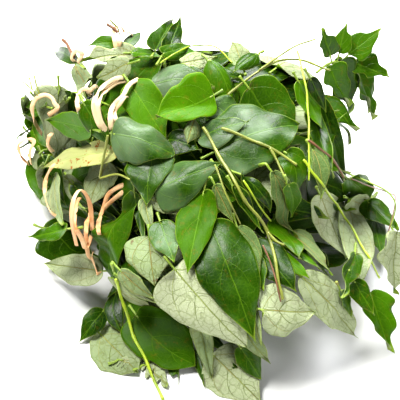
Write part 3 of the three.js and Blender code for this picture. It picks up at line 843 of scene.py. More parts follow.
def add_stalk(shell, points, normals, length, radius, tint, seed):
    """The stalk of a blade, from a little way along its midrib back behind its foot."""
    middle = points.shape[1] // 2
    start, foot = points[3, middle], points[1, middle]
    back = unit(foot - points[4, middle])
    path = [start, foot]
    for share in (0.25, 0.5, 0.75, 1.0):
        place = foot + back * length * share
        reach = np.linalg.norm(place)
        limit = ceiling.at(place[None])[0] - radius - 0.5
        path.append(place * (max(min(reach, limit), reach - 9 * share) / reach))
    path = resampling(len(path), 10) @ np.clip(path, LOWEST + 2, HIGHEST - 2)
    radii = np.linspace(0.8, 1.15, len(path)) * radius
    radii[-2:] *= 1.25
    add_tube(shell, path, radii, STALK, 7, tint, seed)


# ------------------------------------------------------------------ the leaves of the pile

GLOSSY_LOOK, YOUNG_LOOK = leaf_look("glossy_leaf", 0.125, 0.2), leaf_look("young_leaf", 0.05, 0.3)
OTHER_LOOKS = [
    underside_look(),
    stem_look("leaf_rib", (160, 172, 92), (136, 150, 66), (140, 124, 60)),
    stem_look("leaf_stalk", (150, 176, 58), (104, 132, 40), (112, 78, 44)),
]
OLDER_LOOKS, YOUNG_LOOKS = [GLOSSY_LOOK, *OTHER_LOOKS], [YOUNG_LOOK, *OTHER_LOOKS]

# Whether the upper side shows, the tint and the slot of each kind of leaf.
KINDS = {
    "dark": (True, (0.05, 0.06, 0), "glossy_leaf"),
    "green": (True, (0.28, 0.1, 0), "glossy_leaf"),
    "young": (True, (0.6, 0.12, 0), "young_leaf"),
    "yellow": (True, (0.9, 1.0, 0.75), "young_leaf"),
    "pale": (False, (0.2, 0.25, 0), "leaf_underside"),
    # Dusky leaves are pale undersides darkened as painted shade, for undersides that lie in shadow.
    "dusky": (False, (0.75, 0.4, 0), "leaf_underside"),
}


def add_piece(shell, name, looks, node=None):
    """The shell's mesh as a piece of the object, which stands for a CAD node if one is named."""
    piece = shell.build(name, looks)
    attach(piece, "root")
    if node:
        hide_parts(node)


def on_floor(place):
    return np.maximum(place, (-np.inf, -np.inf, 3.0))


DOWNSTREAM = np.array([0.78, 0.0, -0.62])  # the way the bunches' leaves point: from the ties and down
COURSES, COURSE_LEAVES = 2, 104
GOLDEN_ANGLE = 2.399963  # turns by it spread points evenly over a round field


def course_places(course):
    """A course of leaves over the whole heap: each one's middle, outward way, normal and heading."""
    index = np.arange(COURSE_LEAVES) + 0.5
    radius = 1.36 * np.sqrt(index / COURSE_LEAVES)
    angle = index * GOLDEN_ANGLE + course * 1.3
    z = 1 - radius**2 / 2
    flat = np.sqrt(1 - z**2)
    ways = np.stack([flat * np.cos(angle), flat * np.sin(angle), z], -1)
    ways = unit(ways + rng.normal(0, 0.03, ways.shape))
    ways[:, 2] = np.maximum(ways[:, 2], 0.06)
    middles = ways * (heap.at(ways) - 3 - 10 * course - rng.uniform(0, 16, COURSE_LEAVES))[:, None]
    normals = heap_normal(middles)
    turn = rng.normal(0, 0.5, COURSE_LEAVES)[:, None]
    along = unit(DOWNSTREAM - normals * (normals @ DOWNSTREAM)[:, None])
    headings = np.cos(turn) * along + np.sin(turn) * np.cross(normals, along)
    return [(middles[i], ways[i], normals[i], headings[i]) for i in np.argsort(middles @ DOWNSTREAM)]


def lay_sheaf_leaf(shells, trees, middle, way, normal, heading):
    """Lays one leaf of a bunch, in the mesh of the bunch whose solid is nearest."""
    length = rng.uniform(72, 112)
    width = length * rng.uniform(0.5, 0.72)
    pale = rng.uniform() < (0.4 if middle[2] < 80 else 0.1)
    normal = unit(normal + rng.normal(0, 0.2, 3) + 0.6 * abs(way[0]) * CAMERA_OUT)
    foot, tip = (on_floor(middle + heading * length * half) for half in (-0.5, 0.5))
    if tip[0] > 60 and tip[1] < -60:
        return  # the front right stays clear for the loose leaves
    blade = Blade(flat_base(foot, tip, normal, 0.75), {
        "length": length, "width": width, "phase": rng.uniform(0, 6), "gap": 0.9,
        "foot": rng.uniform(0.2, 0.45), "lobe": rng.uniform(0.03, 0.12), "fold": rng.uniform(0, 0.3),
        "sickle": rng.normal(0, 0.04), "wave": rng.uniform(0.8, 3.0), "point": rng.uniform(1.2, 2.1),
        "waves": rng.uniform(1.2, 2.6), "tip": rng.normal(0, 4), "droop": rng.uniform(-0.1, 0.3),
        "bend": rng.uniform(-0.1, 0.3), "skew": rng.normal(0, 0.07),
        "crease": rng.choice([0, 0, 0.12, -0.12, 0.2]),
    }).lay()
    nearest = [tree.find_nearest(Vector(middle))[3] for tree in trees]
    shell = shells[int(np.argmin(nearest))]
    # The bunches' leaves get deep to mid tints: partly their own tone, partly painted shade that darkens the
    # gaps under the loose leaves.
    tint, seed = (rng.uniform(0.0, 0.4), rng.uniform(0.0, 0.2), 0), float(rng.uniform(0, 900))
    points, normals = add_blade(shell, blade, 26, 13, not pale, tint, seed, ribs=False)
    add_stalk(shell, points, normals, rng.uniform(10, 20), 1.1, tint, seed)


def bunch_foliage():
    """The leaves of the tied bunches, in courses that overlap like shingles, one mesh a bunch."""
    trees = [tree_of([f"{name}_leaves"]) for name in BUNCHES]
    shells = [Shell() for _ in BUNCHES]
    for course in range(COURSES):
        for place in course_places(course):
            lay_sheaf_leaf(shells, trees, *place)
    for name, shell in zip(BUNCHES, shells):
        add_neck(shell, f"{name}_leaves")
        add_piece(shell, f"{name}_foliage", OLDER_LOOKS, f"{name}_leaves")


def neck_line(node):
    """The middle of a bunch's gathered stalks: their cut end and a place beyond the tie."""
    points = mesh_arrays(node)[0]
    from_end = points[:, 0] - points[:, 0].min()
    ends = points[from_end < 8], points[(from_end > 14) & (from_end < 30)]
    return [(end.min(0) + end.max(0)) / 2 for end in ends]


NECK_STALKS = 13


def add_neck(shell, node):
    """The gathered stalks of a bunch, cut off unevenly, spreading beyond the tie into the leaves."""
    start, beyond = neck_line(node)
    forward = unit(beyond - start)
    side = unit(np.cross(np.array([0, 0, 1.0]), forward))
    up = np.cross(forward, side)
    for number in range(NECK_STALKS):
        angle = number * 2.4
        spread = 7.2 * math.sqrt((number + 0.5) / NECK_STALKS)
        radius = rng.uniform(1.2, 1.9)
        off = spread * (math.cos(angle) * side + math.sin(angle) * up)
        cut = rng.uniform(10, 24)
        places = [(cut, 1.1), (cut + 8, 0.95), (38, 1.1), (50, 1.5), (66, 2.0)]  # mm along, share of off
        path = [start + forward * along + off * share for along, share in places]
        path = resampling(len(path), 16) @ np.array(path)
        path += 0.5 * np.sin(np.linspace(0, 5, 16) + number)[:, None] * side
        reach = np.linalg.norm(path, axis=1)
        path *= (np.minimum(reach, ceiling.at(path) - radius - 1) / reach)[:, None]
        path[:, 2] = np.maximum(path[:, 2], radius + 0.5)
        tint = (rng.uniform(), rng.uniform(-0.1, 0.3), 0)
        add_tube(shell, path, np.full(16, radius), STALK, 8, tint, number * 11.0)


# Loose leaves from the lowest to the highest, though the highest is laid first. Each has a name, which
# may be a CAD leaf's, where its foot and tip show (mm right of and above the target, as the camera sees
# them), its width, its kind, and what is its own: keys of SHAPE, or
#   free, how many mm more it stands out from the heap, facing the camera, as leaves at the sides do;
#   shade, blemish and bloom, its own values of tint.x, tint.y and of the painted grey sheen.
# The leaves at the back have only a name and a kind, and keep their CAD place.
PILE = [
    ("back_left_leaf", "dark"),
    ("back_right_leaf", "pale"),
    ("back_low_leaf", "green"),
    ("back_top_leaf", "green"),
    ("bottom_dark_leaf_1", (-39, -168), (-24, -204), 17, "dark"),
    ("bottom_dark_leaf_2", (-12, -166), (5, -205), 15, "dark"),
    ("bottom_left_pale_leaf", (-86, -170), (-50, -196), 24, "pale"),
    ("bottom_pale_slip", (-60, -176), (-36, -203), 15, "pale"),
    ("low_pale_torn_leaf", (13, -158), (64, -206), 54, "pale", {"bite": (0.35, 0.7), "free": 1}),
    ("low_pale_strip", (-6, -122), (13, -193), 22, "pale", {"arch": 3}),
    ("low_green_leaf", (41, -150), (64, -183), 22, "green"),
    ("low_grey_leaf", (33, -122), (70, -167), 22, "pale"),
    ("low_dark_leaf", (12, -122), (52, -154), 24, "dark"),
    ("right_pale_strip", (51, -88), (63, -150), 14, "pale"),
    ("low_left_round_pale_leaf", (-102, -136), (-62, -176), 46, "pale",
     {"lobe": 0.12, "point": 1.0, "free": 1}),
    ("left_low_dark_tip", (-98, -112), (-124, -145), 22, "dark", {"free": 2}),
    ("left_low_slip", (-108, -80), (-95, -131), 18, "green", {"arch": 4}),
    ("left_low_dark_leaf", (-92, -98), (-83, -142), 20, "dark"),
    ("left_small_pale_leaf", (-89, -80), (-62, -136), 26, "pale"),
    ("left_pale_sliver", (-80, -84), (-47, -112), 12, "pale"),
    ("left_low_pale_leaf", (-100, -72), (-156, -66), 32, "pale", {"tip": 6, "free": 1}),
    ("right_low_pale_leaf", (113, -82), (161, -143), 36, "pale"),
    ("right_low_wide_pale_leaf", (66, -116), (122, -116), 44, "pale"),
    ("right_edge_leaf_1", (124, 102), (150, 2), 18, "dark", {"free": 1}),
    ("right_edge_leaf_2", (112, 92), (134, 22), 20, "dark", {"free": 1}),
    ("right_edge_leaf_3", (100, 120), (124, 72), 22, "green", {"free": 1}),
    ("right_edge_leaf_4", (112, 124), (130, 90), 15, "dark", {"free": 2}),
    ("right_edge_leaf_5", (146, 14), (172, -10), 18, "green", {"free": 1}),
    ("right_edge_leaf_6", (174, -4), (184, -60), 24, "green", {"free": 1}),
    ("right_edge_leaf_7", (102, -42), (128, -72), 18, "green"),
    ("right_edge_leaf_8", (90, -54), (115, -82), 18, "young"),
    ("right_edge_leaf_9", (80, -22), (108, -58), 24, "green"),
    ("right_edge_leaf_10", (160, -90), (178, -118), 16, "green", {"free": 2}),
    ("right_edge_leaf_11", (144, -92), (155, -120), 10, "green", {"free": 1}),
    ("right_dark_leaf_3", (92, 54), (108, 8), 26, "dark"),
    ("right_grey_pale_leaf", (117, 54), (129, 3), 18, "dusky"),
    ("right_upper_pale_leaf", (122, 4), (148, -60), 34, "pale", {"free": 1}),
    ("right_long_pale_leaf", (152, -6), (168, -92), 40, "pale", {"free": 1}),
    ("right_green_curl", (150, 22), (178, 2), 30, "green", {"wave": 3, "free": 1}),
    ("right_pale_curl", (150, 2), (180, -12), 24, "pale", {"wave": 3, "free": 1}),
    ("far_right_green_leaf", (170, -2), (202, -32), 34, "green", {"wave": 3, "free": 2}),
    ("right_dusky_leaf", (102, -30), (138, -78), 26, "dusky"),
    ("right_dark_leaf_1", (60, -42), (101, -97), 36, "dark"),
    ("right_dark_leaf_2", (79, -18), (106, -61), 26, "green"),
    ("right_green_tip", (158, -54), (143, -99), 16, "green", {"fold": 0.3}),
    ("right_low_green_leaf", (156, -82), (177, -116), 20, "green"),
    ("small_green_leaf", (63, -54), (71, -96), 15, "green"),
    ("grey_shade_leaf", (41, -27), (64, -96), 28, "dusky"),
    ("narrow_shade_leaf_1", (20, 36), (52, -14), 14, "dark"),
    ("narrow_shade_leaf_2", (16, 16), (36, -22), 14, "dusky"),
    ("narrow_shade_leaf_3", (44, 30), (74, -12), 16, "dark"),
    ("narrow_shade_leaf_4", (34, 14), (64, -34), 14, "dark"),
    ("hanging_dusky_leaf", (77, 30), (106, -38), 24, "dusky", {"fold": 0.35}),
    ("small_round_leaf", (91, 16), (95, -17), 16, "green"),
    ("left_edge_dark_leaf", (-171, 42), (-157, -16), 16, "dark"),
    ("left_edge_pale_leaf", (-152, 52), (-170, 24), 24, "pale"),
    ("left_small_pale_leaf_2", (-145, 26), (-127, -27), 26, "pale"),
    ("left_small_dark_leaf", (-171, 68), (-153, 48), 14, "dark"),
    ("left_tip_leaf", (-134, -30), (-173, -40), 18, "green", {"free": 2}),
    ("left_spotted_leaf", (-104, -34), (-96, -88), 24, "young"),
    ("far_left_leaf_13", (-134, 66), (-146, 16), 26, "pale", {"free": 1}),
    ("far_left_leaf_12", (-150, 52), (-138, 14), 24, "dusky", {"free": 1}),
    ("far_left_leaf_9", (-172, 40), (-150, -14), 24, "green", {"free": 1}),
    ("far_left_leaf_8", (-168, 54), (-150, 18), 20, "pale", {"free": 1}),
    ("far_left_leaf_14", (-130, 110), (-144, 80), 22, "dark", {"free": 1}),
    ("far_left_leaf_11", (-136, 100), (-156, 70), 22, "dark", {"free": 1}),
    ("far_left_leaf_10", (-146, 64), (-160, 36), 20, "dark", {"free": 1}),
    ("far_left_leaf_3", (-182, 84), (-158, 64), 18, "dusky", {"free": 2}),
    ("far_left_leaf_4", (-168, 84), (-148, 62), 18, "green", {"free": 2}),
    ("far_left_leaf_7", (-166, 62), (-190, 50), 14, "dark", {"free": 2}),
    ("far_left_leaf_6", (-170, 74), (-192, 62), 14, "green", {"free": 2}),
    ("far_left_leaf_5", (-174, 68), (-150, 46), 18, "young", {"free": 2}),
    ("far_left_dark_leaf_2", (-168, 104), (-150, 82), 19, "green", {"free": 3}),
    ("far_left_dark_leaf_1", (-180, 102), (-168, 76), 17, "dark", {"free": 3}),
    ("far_left_leaf_2", (-174, 92), (-196, 84), 13, "green", {"free": 3}),
    ("far_left_leaf_1", (-174, 96), (-196, 98), 14, "young", {"free": 3}),
    ("left_curtain_leaf_1", (-160, 44), (-136, -6), 22, "dark", {"free": 1}),
    ("left_curtain_leaf_2", (-150, 24), (-142, -24), 24, "pale", {"free": 1}),
    ("left_curtain_leaf_3", (-134, 18), (-116, -34), 24, "dark"),
    ("left_curtain_leaf_4", (-120, -10), (-106, -52), 22, "dark"),
    ("left_curtain_leaf_5", (-118, 98), (-96, 60), 26, "dark"),
    ("left_pale_veined_leaf", (-96, 40), (-114, -12), 42, "pale", {"bite": (0.45, 0.3)}),
    ("left_bright_leaf", (-110, 72), (-156, 84), 28, "young", {"free": 1}),
    ("narrow_dark_leaf", (-76, 20), (-61, -48), 14, "dark", {"fold": 0.3}),
    ("left_speckled_leaf", (-84, 52), (-169, 36), 26, "yellow", {"point": 1.6, "free": 1}),
    ("mid_small_pale_leaf_1", (-53, 4), (-22, -14), 16, "pale"),
    ("mid_small_pale_leaf_2", (-58, 2), (-52, -36), 12, "pale"),
    ("smudged_pale_leaf", (-54, -36), (-46, -90), 48, "pale", {"blemish": 1.0, "foot": 0.8, "shade": 0.6}),
    ("grey_green_sliver", (-82, -72), (-48, -104), 16, "dusky"),
    ("great_pale_leaf", (-28, -72), (45, -153), 66, "pale",
     {"foot": 1.5, "point": 1.0, "shade": -0.1, "blemish": 0.1}),
    ("left_drooping_leaf", (-68, 8), (-96, -102), 34, "green", {"foot": 0.6, "point": 0.9, "shade": 0.35}),
    ("grey_tip_leaf", (-41, -22), (-26, -64), 28, "green", {"bloom": 0.42}),
    ("front_dark_leaf", (10, -24), (58, -142), 54, "dark"),
    ("front_bright_leaf", (4, 10), (-14, -76), 38, "young", {"fold": 0.12, "shade": 0.5}),
    ("front_heart_leaf", (-66, -120), (-4, -172), 58, "young",
     {"lobe": 0.14, "point": 1.0, "foot": 0.9, "shade": 0.36}),
    ("top_left_dark_tip", (-127, 142), (-151, 158), 16, "dark", {"free": 3}),
    ("top_left_green_leaf", (-84, 160), (-114, 158), 18, "green", {"free": 2}),
    ("top_left_grey_leaf", (-74, 158), (-60, 172), 15, "dark", {"free": 2, "bloom": 0.34}),
    ("top_left_wavy_leaf", (-62, 153), (-121, 140), 15, "pale", {"wave": 4}),
    ("top_left_pale_leaf", (-131, 143), (-119, 102), 24, "pale", {"blemish": 0.8}),
    ("top_white_leaf", (-72, 140), (-106, 126), 26, "pale"),
    ("top_lens_leaf", (-70, 151), (-36, 146), 14, "green"),
    ("two_tipped_leaf_1", (-46, 152), (-28, 184), 24, "dark", {"free": 4, "fold": 0.3}),
    ("two_tipped_leaf_2", (-34, 148), (-19, 184), 18, "dark", {"free": 4}),
    ("two_tipped_leaf_3", (-38, 148), (-9, 158), 20, "green", {"free": 3}),
    ("top_pale_leaf_1", (-20, 143), (18, 151), 18, "pale"),
    ("top_pale_leaf_2", (44, 136), (32, 164), 22, "pale", {"free": 3}),
    ("bent_bright_leaf", (10, 144), (38, 120), 26, "green",
     {"arch": 0, "droop": 0.9, "foot": 0.9, "point": 0.8}),
    ("dark_curled_leaf", (58, 150), (34, 132), 20, "dark", {"arch": 1, "droop": 0.6, "foot": 0.8}),
    ("central_dark_leaf", (-38, 76), (2, 56), 30, "dark"),
    ("back_sheen_leaf", (-54, 130), (16, 122), 42, "dark", {"bloom": 0.42}),
    ("pale_sheen_leaf", (14, 104), (64, 80), 34, "dark", {"bloom": 0.66}),
    ("upper_round_dark_leaf", (52, 122), (106, 78), 54, "green", {"point": 1.15}),
    ("right_broad_leaf", (16, 58), (106, 82), 76, "dark", {"point": 1.15, "foot": 0.6, "bloom": 0.58}),
    ("grey_sheen_leaf", (-2, 70), (49, 80), 34, "dark", {"bloom": 0.42}),
    ("small_curled_leaf", (-6, 82), (-13, 58), 16, "dusky", {"arch": 1, "droop": 0.8}),
    ("broad_gloss_leaf", (-50, 14), (26, 40), 50, "green",
     {"foot": 0.9, "point": 1.5, "crease": -0.12, "bloom": 0.24}),
    ("long_tipped_leaf", (-52, 54), (-56, -6), 48, "dark",
     {"point": 1.5, "foot": 0.9, "skew": -0.1, "bloom": 0.12}),
    ("upper_young_leaf", (-72, 120), (-40, 72), 38, "young", {"point": 1.15}),
    ("folded_young_leaf", (13, 104), (-44, 84), 40, "young",
     {"crease": 0.4, "foot": 1.2, "point": 0.8, "shade": 0.8}),
    ("folded_grey_leaf", (-92, 72), (-28, 50), 44, "dark",
     {"crease": -0.36, "foot": 1.2, "point": 0.8, "bloom": 0.46}),
]


SMALL = 60  # a shorter leaf has a plainer mesh and a shorter stalk


def base_between(foot_place, tip_place, free):
    """A loose leaf's base between two places that the camera sees, its length, and the way it faces."""
    foot, tip = (on_floor(seen(*place, 3 + free)) for place in (foot_place, tip_place))
    middle, length = (foot + tip) / 2, np.linalg.norm(tip - foot)
    flat = max(1 - middle[2] / 40, 0) * np.array([0, 0, 3.0])  # near the floor leaves lie flat
    facing = unit(heap_normal(middle) + (1.6 if free else 0.7) * CAMERA_OUT + flat)
    return flat_base(foot, tip, facing, 1.0 if free else 0.8 if length < SMALL else 0.6), length, facing


def pile_up():
    """The loose leaves, laid from the highest to the lowest."""
    for row in reversed(PILE):
        own = dict(row[-1]) if isinstance(row[-1], dict) else {}
        name, *places, kind = row[:-1] if own else row
        free, blemish, shade, bloom = (own.pop(key, None) for key in ("free", "blemish", "shade", "bloom"))
        if places:
            foot_place, tip_place, width = places
            base, length, facing = base_between(foot_place, tip_place, free or 0)
            shape = {"foot": rng.uniform(0.2, 0.4), "sickle": rng.normal(0, 0.02)}
        else:
            base, length, width = node_base(name)
            shape = {"sickle": 0.0}
        shape.update(
            length=length, width=width, phase=rng.uniform(0, 6), lobe=rng.uniform(0.03, 0.1),
            wave=rng.uniform(0.8, 3.0), waves=rng.uniform(1.3, 2.6), point=rng.uniform(1.35, 1.6),
            crease=rng.choice([0, 0.08, -0.08]), droop=rng.uniform(0, 0.3), bend=rng.uniform(-0.05, 0.3),
            skew=rng.normal(0, 0.07),
        )
        upper_out, usual, slot = KINDS[kind]
        # tint.z below 0 is the amount of painted grey sheen, a reflection painted into the leaf's colour.
        tint = (
            usual[0] + rng.uniform(-0.06, 0.24 if upper_out else 0.5) if shade is None else shade,
            usual[1] if blemish is None else blemish,
            -bloom if bloom else usual[2],
        )
        blade = Blade(base, {**shape, **own}, facing if free else None).lay()
        shell, seed = Shell(), float(rng.uniform(0, 900))
        rows, columns, stalk = (30, 17, 12) if length < SMALL else (46, 25, 15)
        points, normals = add_blade(shell, blade, rows, columns, upper_out, tint, seed)
        add_stalk(shell, points, normals, stalk, 1.15, (tint[0], rng.uniform(-0.1, 0.15), 0), seed)
        looks = YOUNG_LOOKS if slot == "young_leaf" else OLDER_LOOKS
        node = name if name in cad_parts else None
        add_piece(shell, f"{name}_blade" if node else name, looks, node)


# ------------------------------------------------------------------ ties


def strip_rings(node, longest=5.2):
    """The middle line of a CAD tie and its direction across. The tie's mesh is a chain of rings: edges up
    to longest lie in one ring, and longer ones join two."""
    raw, faces = mesh_arrays(node)
    keys = {}
    index = [keys.setdefault(tuple(np.round(point, 2)), len(keys)) for point in raw]
    points = np.array(list(keys))
    edges = set()
    for face in faces:
        face = [index[i] for i in face]
        edges |= {tuple(sorted(pair)) for pair in zip(face, face[1:] + face[:1]) if pair[0] != pair[1]}
    ring_of = np.arange(len(points))
    long_edges = []
    for first, second in edges:
        if np.linalg.norm(points[first] - points[second]) < longest:
            ring_of[ring_of == ring_of[first]] = ring_of[second]
        else:
            long_edges.append((first, second))
    near = {int(ring): set() for ring in ring_of}
    for first, second in (ring_of[list(edge)].tolist() for edge in long_edges):
        if first != second:
            near[first].add(second)
            near[second].add(first)
    order = [next(ring for ring in near if len(near[ring]) == 1)]
    while ahead := [ring for ring in near[order[-1]] if ring not in order]:
        order.append(ahead[0])
    middles, acrosses = [], []
    for ring in order:
        corners = points[ring_of == ring]
        middles.append(corners.mean(0))
        across = np.linalg.svd(corners - corners.mean(0))[2][0]
        acrosses.append(-across if acrosses and across @ acrosses[-1] < 0 else across)
    return np.array(middles), np.array(acrosses)


STRIP_WIDTH, STRIP_THICKNESS = 4.4, 0.8


def add_strip(shell, middles, acrosses, seed, painted_highlight):
    """A palm strip: a thin, slightly cupped and grooved band."""
    count, ring = len(middles), 14
    tangents = unit(np.gradient(middles, axis=0))
    acrosses = unit(acrosses - tangents * (acrosses * tangents).sum(-1, keepdims=True))
    facing = np.cross(tangents, acrosses)
    line = np.concatenate([np.linspace(-1, 1, ring // 2), np.linspace(1, -1, ring // 2)])
    layer = np.repeat([1.0, -1.0], ring // 2)
    height = layer * STRIP_THICKNESS / 2 * (1 - 0.5 * np.abs(line) ** 4)
    height += 0.12 * np.sin(line * 9 + seed) + 0.35 * (1 - line**2)
    points, place = [], []
    for step, gone in enumerate(line_length(middles)):
        swell = 1 + 0.08 * math.sin(gone / 9 + seed) + 0.05 * math.sin(gone / 3.7)
        points.append(middles[step] + (line * STRIP_WIDTH / 2 * swell)[:, None] * acrosses[step]
                      + height[:, None] * facing[step])
        across = line * STRIP_WIDTH / 2 + layer
        place.append(np.stack([np.full(ring, gone), across, np.full(ring, seed)], -1))
    pairs = [(i, (i + 1) % ring) for i in range(ring)]
    faces = [(low + i, low + ahead, low + ring + ahead, low + ring + i)
             for low in range(0, (count - 1) * ring, ring) for i, ahead in pairs]
    faces += [tuple(range(ring))[::-1], tuple(range((count - 1) * ring, count * ring))]
    shell.add(np.concatenate(points), faces, 0, place=np.concatenate(place), tint=(painted_highlight, 0, 0))


# Where the strips of a bunch's tie show, as the camera sees them: right, up and height over the leaves.
# The tie of a bunch with no strips here keeps its CAD route.
STRIPS = {
    "bunch_01": [[(-111, -57, 0), (-107, -67, 2), (-104, -77, 0)]],
    "bunch_02": [[(-125, 1, 0), (-127, -13, 3), (-128, -26, 3), (-123, -38, 0)]],
    "bunch_03": [[(-179, 36, 0), (-183, 46, 3), (-185, 55, 5), (-181, 60, 6), (-174, 62, 6), (-169, 59, 5),
                  (-173, 51, 3), (-176, 38, 0)]],
    "bunch_04": [[(-131, 140, 0), (-130, 148, 3), (-125, 152, 6), (-120, 148, 5), (-126, 140, 0)]],
    "bunch_05": [[(-111, -13, 0), (-115, -22, 2), (-116, -41, 3), (-112, -65, 0)]],
    "bunch_06": [[(-148, 39, 0), (-155, 26, 3), (-158, 13, 4), (-156, -3, 3), (-148, -20, 0)]],
    "bunch_07": [[(-164, 69, 0), (-169, 81, 3), (-171, 94, 6), (-167, 103, 8), (-158, 107, 9),
                  (-151, 104, 8), (-148, 98, 6), (-145, 93, 4), (-156, 86, 1)],
                 [(-153, 67, 0), (-155, 57, 3), (-151, 50, 0)]],
    "bunch_09": [[(-124, 90, 0), (-125, 104, 4), (-120, 112, 6), (-114, 112, 6), (-115, 106, 3)],
                 [(-114, 108, 2), (-110, 113, 4), (-106, 116, 0)]],
    "bunch_10": [[(-85, 157, 0), (-88, 167, 4), (-87, 174, 6), (-83, 177, 6), (-78, 174, 4)],
                 [(-83, 157, 0), (-80, 165, 3), (-76, 170, 4), (-70, 171, 2)]],
    "bunch_11": [[(-76, 17, 0), (-92, 7, 3), (-98, -7, 3), (-105, -28, 0)],
                 [(-75, 11, 0), (-94, -5, 3), (-102, -18, 3), (-104, -34, 0)]],
    "bunch_12": [[(-98, 70, 0), (-104, 79, 3), (-108, 94, 6), (-106, 105, 8), (-99, 115, 8), (-87, 123, 5),
                  (-77, 125, 0)],
                 [(-95, 70, 0), (-101, 80, 3), (-104, 94, 6), (-102, 103, 7), (-95, 112, 6), (-85, 119, 4),
                  (-77, 122, 0)],
                 [(-91, 73, 0), (-91, 89, 4), (-86, 99, 6), (-78, 107, 6), (-73, 116, 4), (-64, 124, 0)],
                 [(-86, 80, 0), (-87, 90, 4), (-81, 99, 6), (-75, 108, 5)]],
}
# How far each bunch's strips are whitened: painted highlight, strongest on the upper bunches, which the
# light strikes most.
PAINTED_HIGHLIGHT = {"bunch_12": 0.7, "bunch_09": 0.6, "bunch_10": 0.4, "bunch_04": 0.5, "bunch_07": 0.3}
STRIP_STEPS = 48


def make_ties():
    """The palm strips of each bunch's tie, whose ends are tucked in between the leaves."""
    look = strip_look()
    step = np.arange(STRIP_STEPS)
    tuck = 5 * np.maximum(1 - np.minimum(step, step[::-1]) / 6, 0)[:, None]
    for number, name in enumerate(BUNCHES):
        shell, painted_highlight, routes = Shell(), PAINTED_HIGHLIGHT.get(name, 0.0), STRIPS.get(name, [])
        for strand, route in enumerate(routes):
            path = over_leaves(route, STRIP_STEPS, 0.8)
            normals = unit(heap_normal(path) + CAMERA_OUT)
            path -= normals * tuck
            acrosses = np.cross(normals, np.gradient(path, axis=0))
            add_strip(shell, path, acrosses, number * 17.0 + strand, painted_highlight)
        if not routes:
            middles, acrosses = strip_rings(f"{name}_tie")
            spread = resampling(len(middles), 90)
            add_strip(shell, spread @ middles, unit(spread @ acrosses), number * 17.0, painted_highlight)
        add_piece(shell, f"{name}_palm_strip", [look], f"{name}_tie")


# ------------------------------------------------------------------ stems

# The light, dark and woody colours of each kind of stem.
STEM_COLOURS = {
    "green": ((182, 204, 44), (132, 158, 30), (122, 84, 46)),
    "olive": ((150, 158, 62), (104, 112, 44), (108, 78, 48)),
    "brown": ((138, 96, 62), (96, 62, 44), (120, 60, 44)),
}

# Name, CAD node if it stands for one, radius, colours, and routes as the camera sees them: the stem and
# its branches, each from foot to tip, mm right of and above the target.
STEMS = [
    ("main_vine", "main_vine_stem", 1.5, "olive",
     [[(3, 74), (24, 38), (46, 0), (69, -33), (78, -71), (84, -102)], [(69, -33), (77, -42), (86, -46)]]),
    ("cut_vine", "cut_vine_stem", 1.4, "olive",
     [[(22, 73), (46, 64), (71, 53), (99, 36)], [(71, 53), (79, 38), (88, 20)]]),
    ("upper_vine", "upper_vine_stem", 1.2, "olive",
     [[(28, 107), (55, 128), (81, 142), (104, 142), (132, 132)], [(60, 132), (94, 155), (118, 164)]]),
    ("right_vine", "right_vine_stem", 1.2, "green", [[(105, 41), (130, 8), (155, -29), (183, -79)]]),
    ("front_vine", "front_vine_stem", 1.5, "green",
     [[(-86, -81), (-79, -102), (-68, -137), (-53, -168), (-38, -204)]]),
    ("hanging_vine", None, 1.0, "green", [[(99, 152), (107, 120), (110, 92), (111, 60), (111, 20)]]),
    ("olive_twig", None, 1.3, "olive",
     [[(-94, 66), (-98, 44), (-102, 22)], [(-102, 22), (-84, 26), (-71, 21)]]),
    ("thin_top_vine", None, 0.8, "green", [[(-41, 139), (-24, 150), (-7, 157), (15, 156), (33, 140)]]),
    ("side_tendril", None, 0.7, "brown", [[(153, 22), (176, 13), (193, 7), (199, 0), (191, -36)]]),
    ("red_spike", None, 1.2, "brown", [[(110, 61), (122, 52), (134, 43), (146, 23)]]),
    ("top_twig", None, 0.8, "olive", [[(-92, 184), (-89, 180), (-84, 175), (-82, 168)]]),
    ("top_bud", None, 1.6, "brown", [[(-95, 179), (-89, 175), (-84, 170)]]),
    ("left_bud", None, 1.7, "brown", [[(-140, 163), (-134, 156), (-128, 146)]]),
    ("left_sprig", None, 0.8, "olive",
     [[(-169, 127), (-166, 114), (-162, 104)], [(-174, 125), (-171, 113), (-166, 106)],
      [(-181, 121), (-173, 114), (-165, 106)]]),
    ("middle_twig_1", None, 0.9, "olive", [[(15, 36), (26, 8), (41, -25)]]),
    ("middle_twig_2", None, 0.8, "brown", [[(64, -46), (76, -76), (82, -104)]]),
    ("middle_twig_3", None, 0.9, "green", [[(44, 20), (58, -2), (72, -22)]]),
]


def smoothed(values, window):
    return np.convolve(np.pad(values, window // 2, mode="edge"), np.ones(window) / window, "valid")


def over_leaves(route, count, radius):
    """A smooth path over the pile through places the camera sees: right, up and height."""
    places = resampling(len(route), count) @ np.array([(*place, 0)[:3] for place in route], float)
    path = np.array([seen(right, up, radius + lift, skin) for right, up, lift in places])
    far = np.linalg.norm(path - EYE, axis=1)
    near = far
    for _ in range(4):
        near = np.minimum(smoothed(near, 9), far)
    near = smoothed(smoothed(near, 5), 5)
    path = EYE + (path - EYE) * (near / far)[:, None]
    path[:, 2] = np.clip(path[:, 2], 1.6 * radius, HIGHEST[2] - radius)
    return path


NODE_SPACING = 34  # mm between the swollen joints of a stem


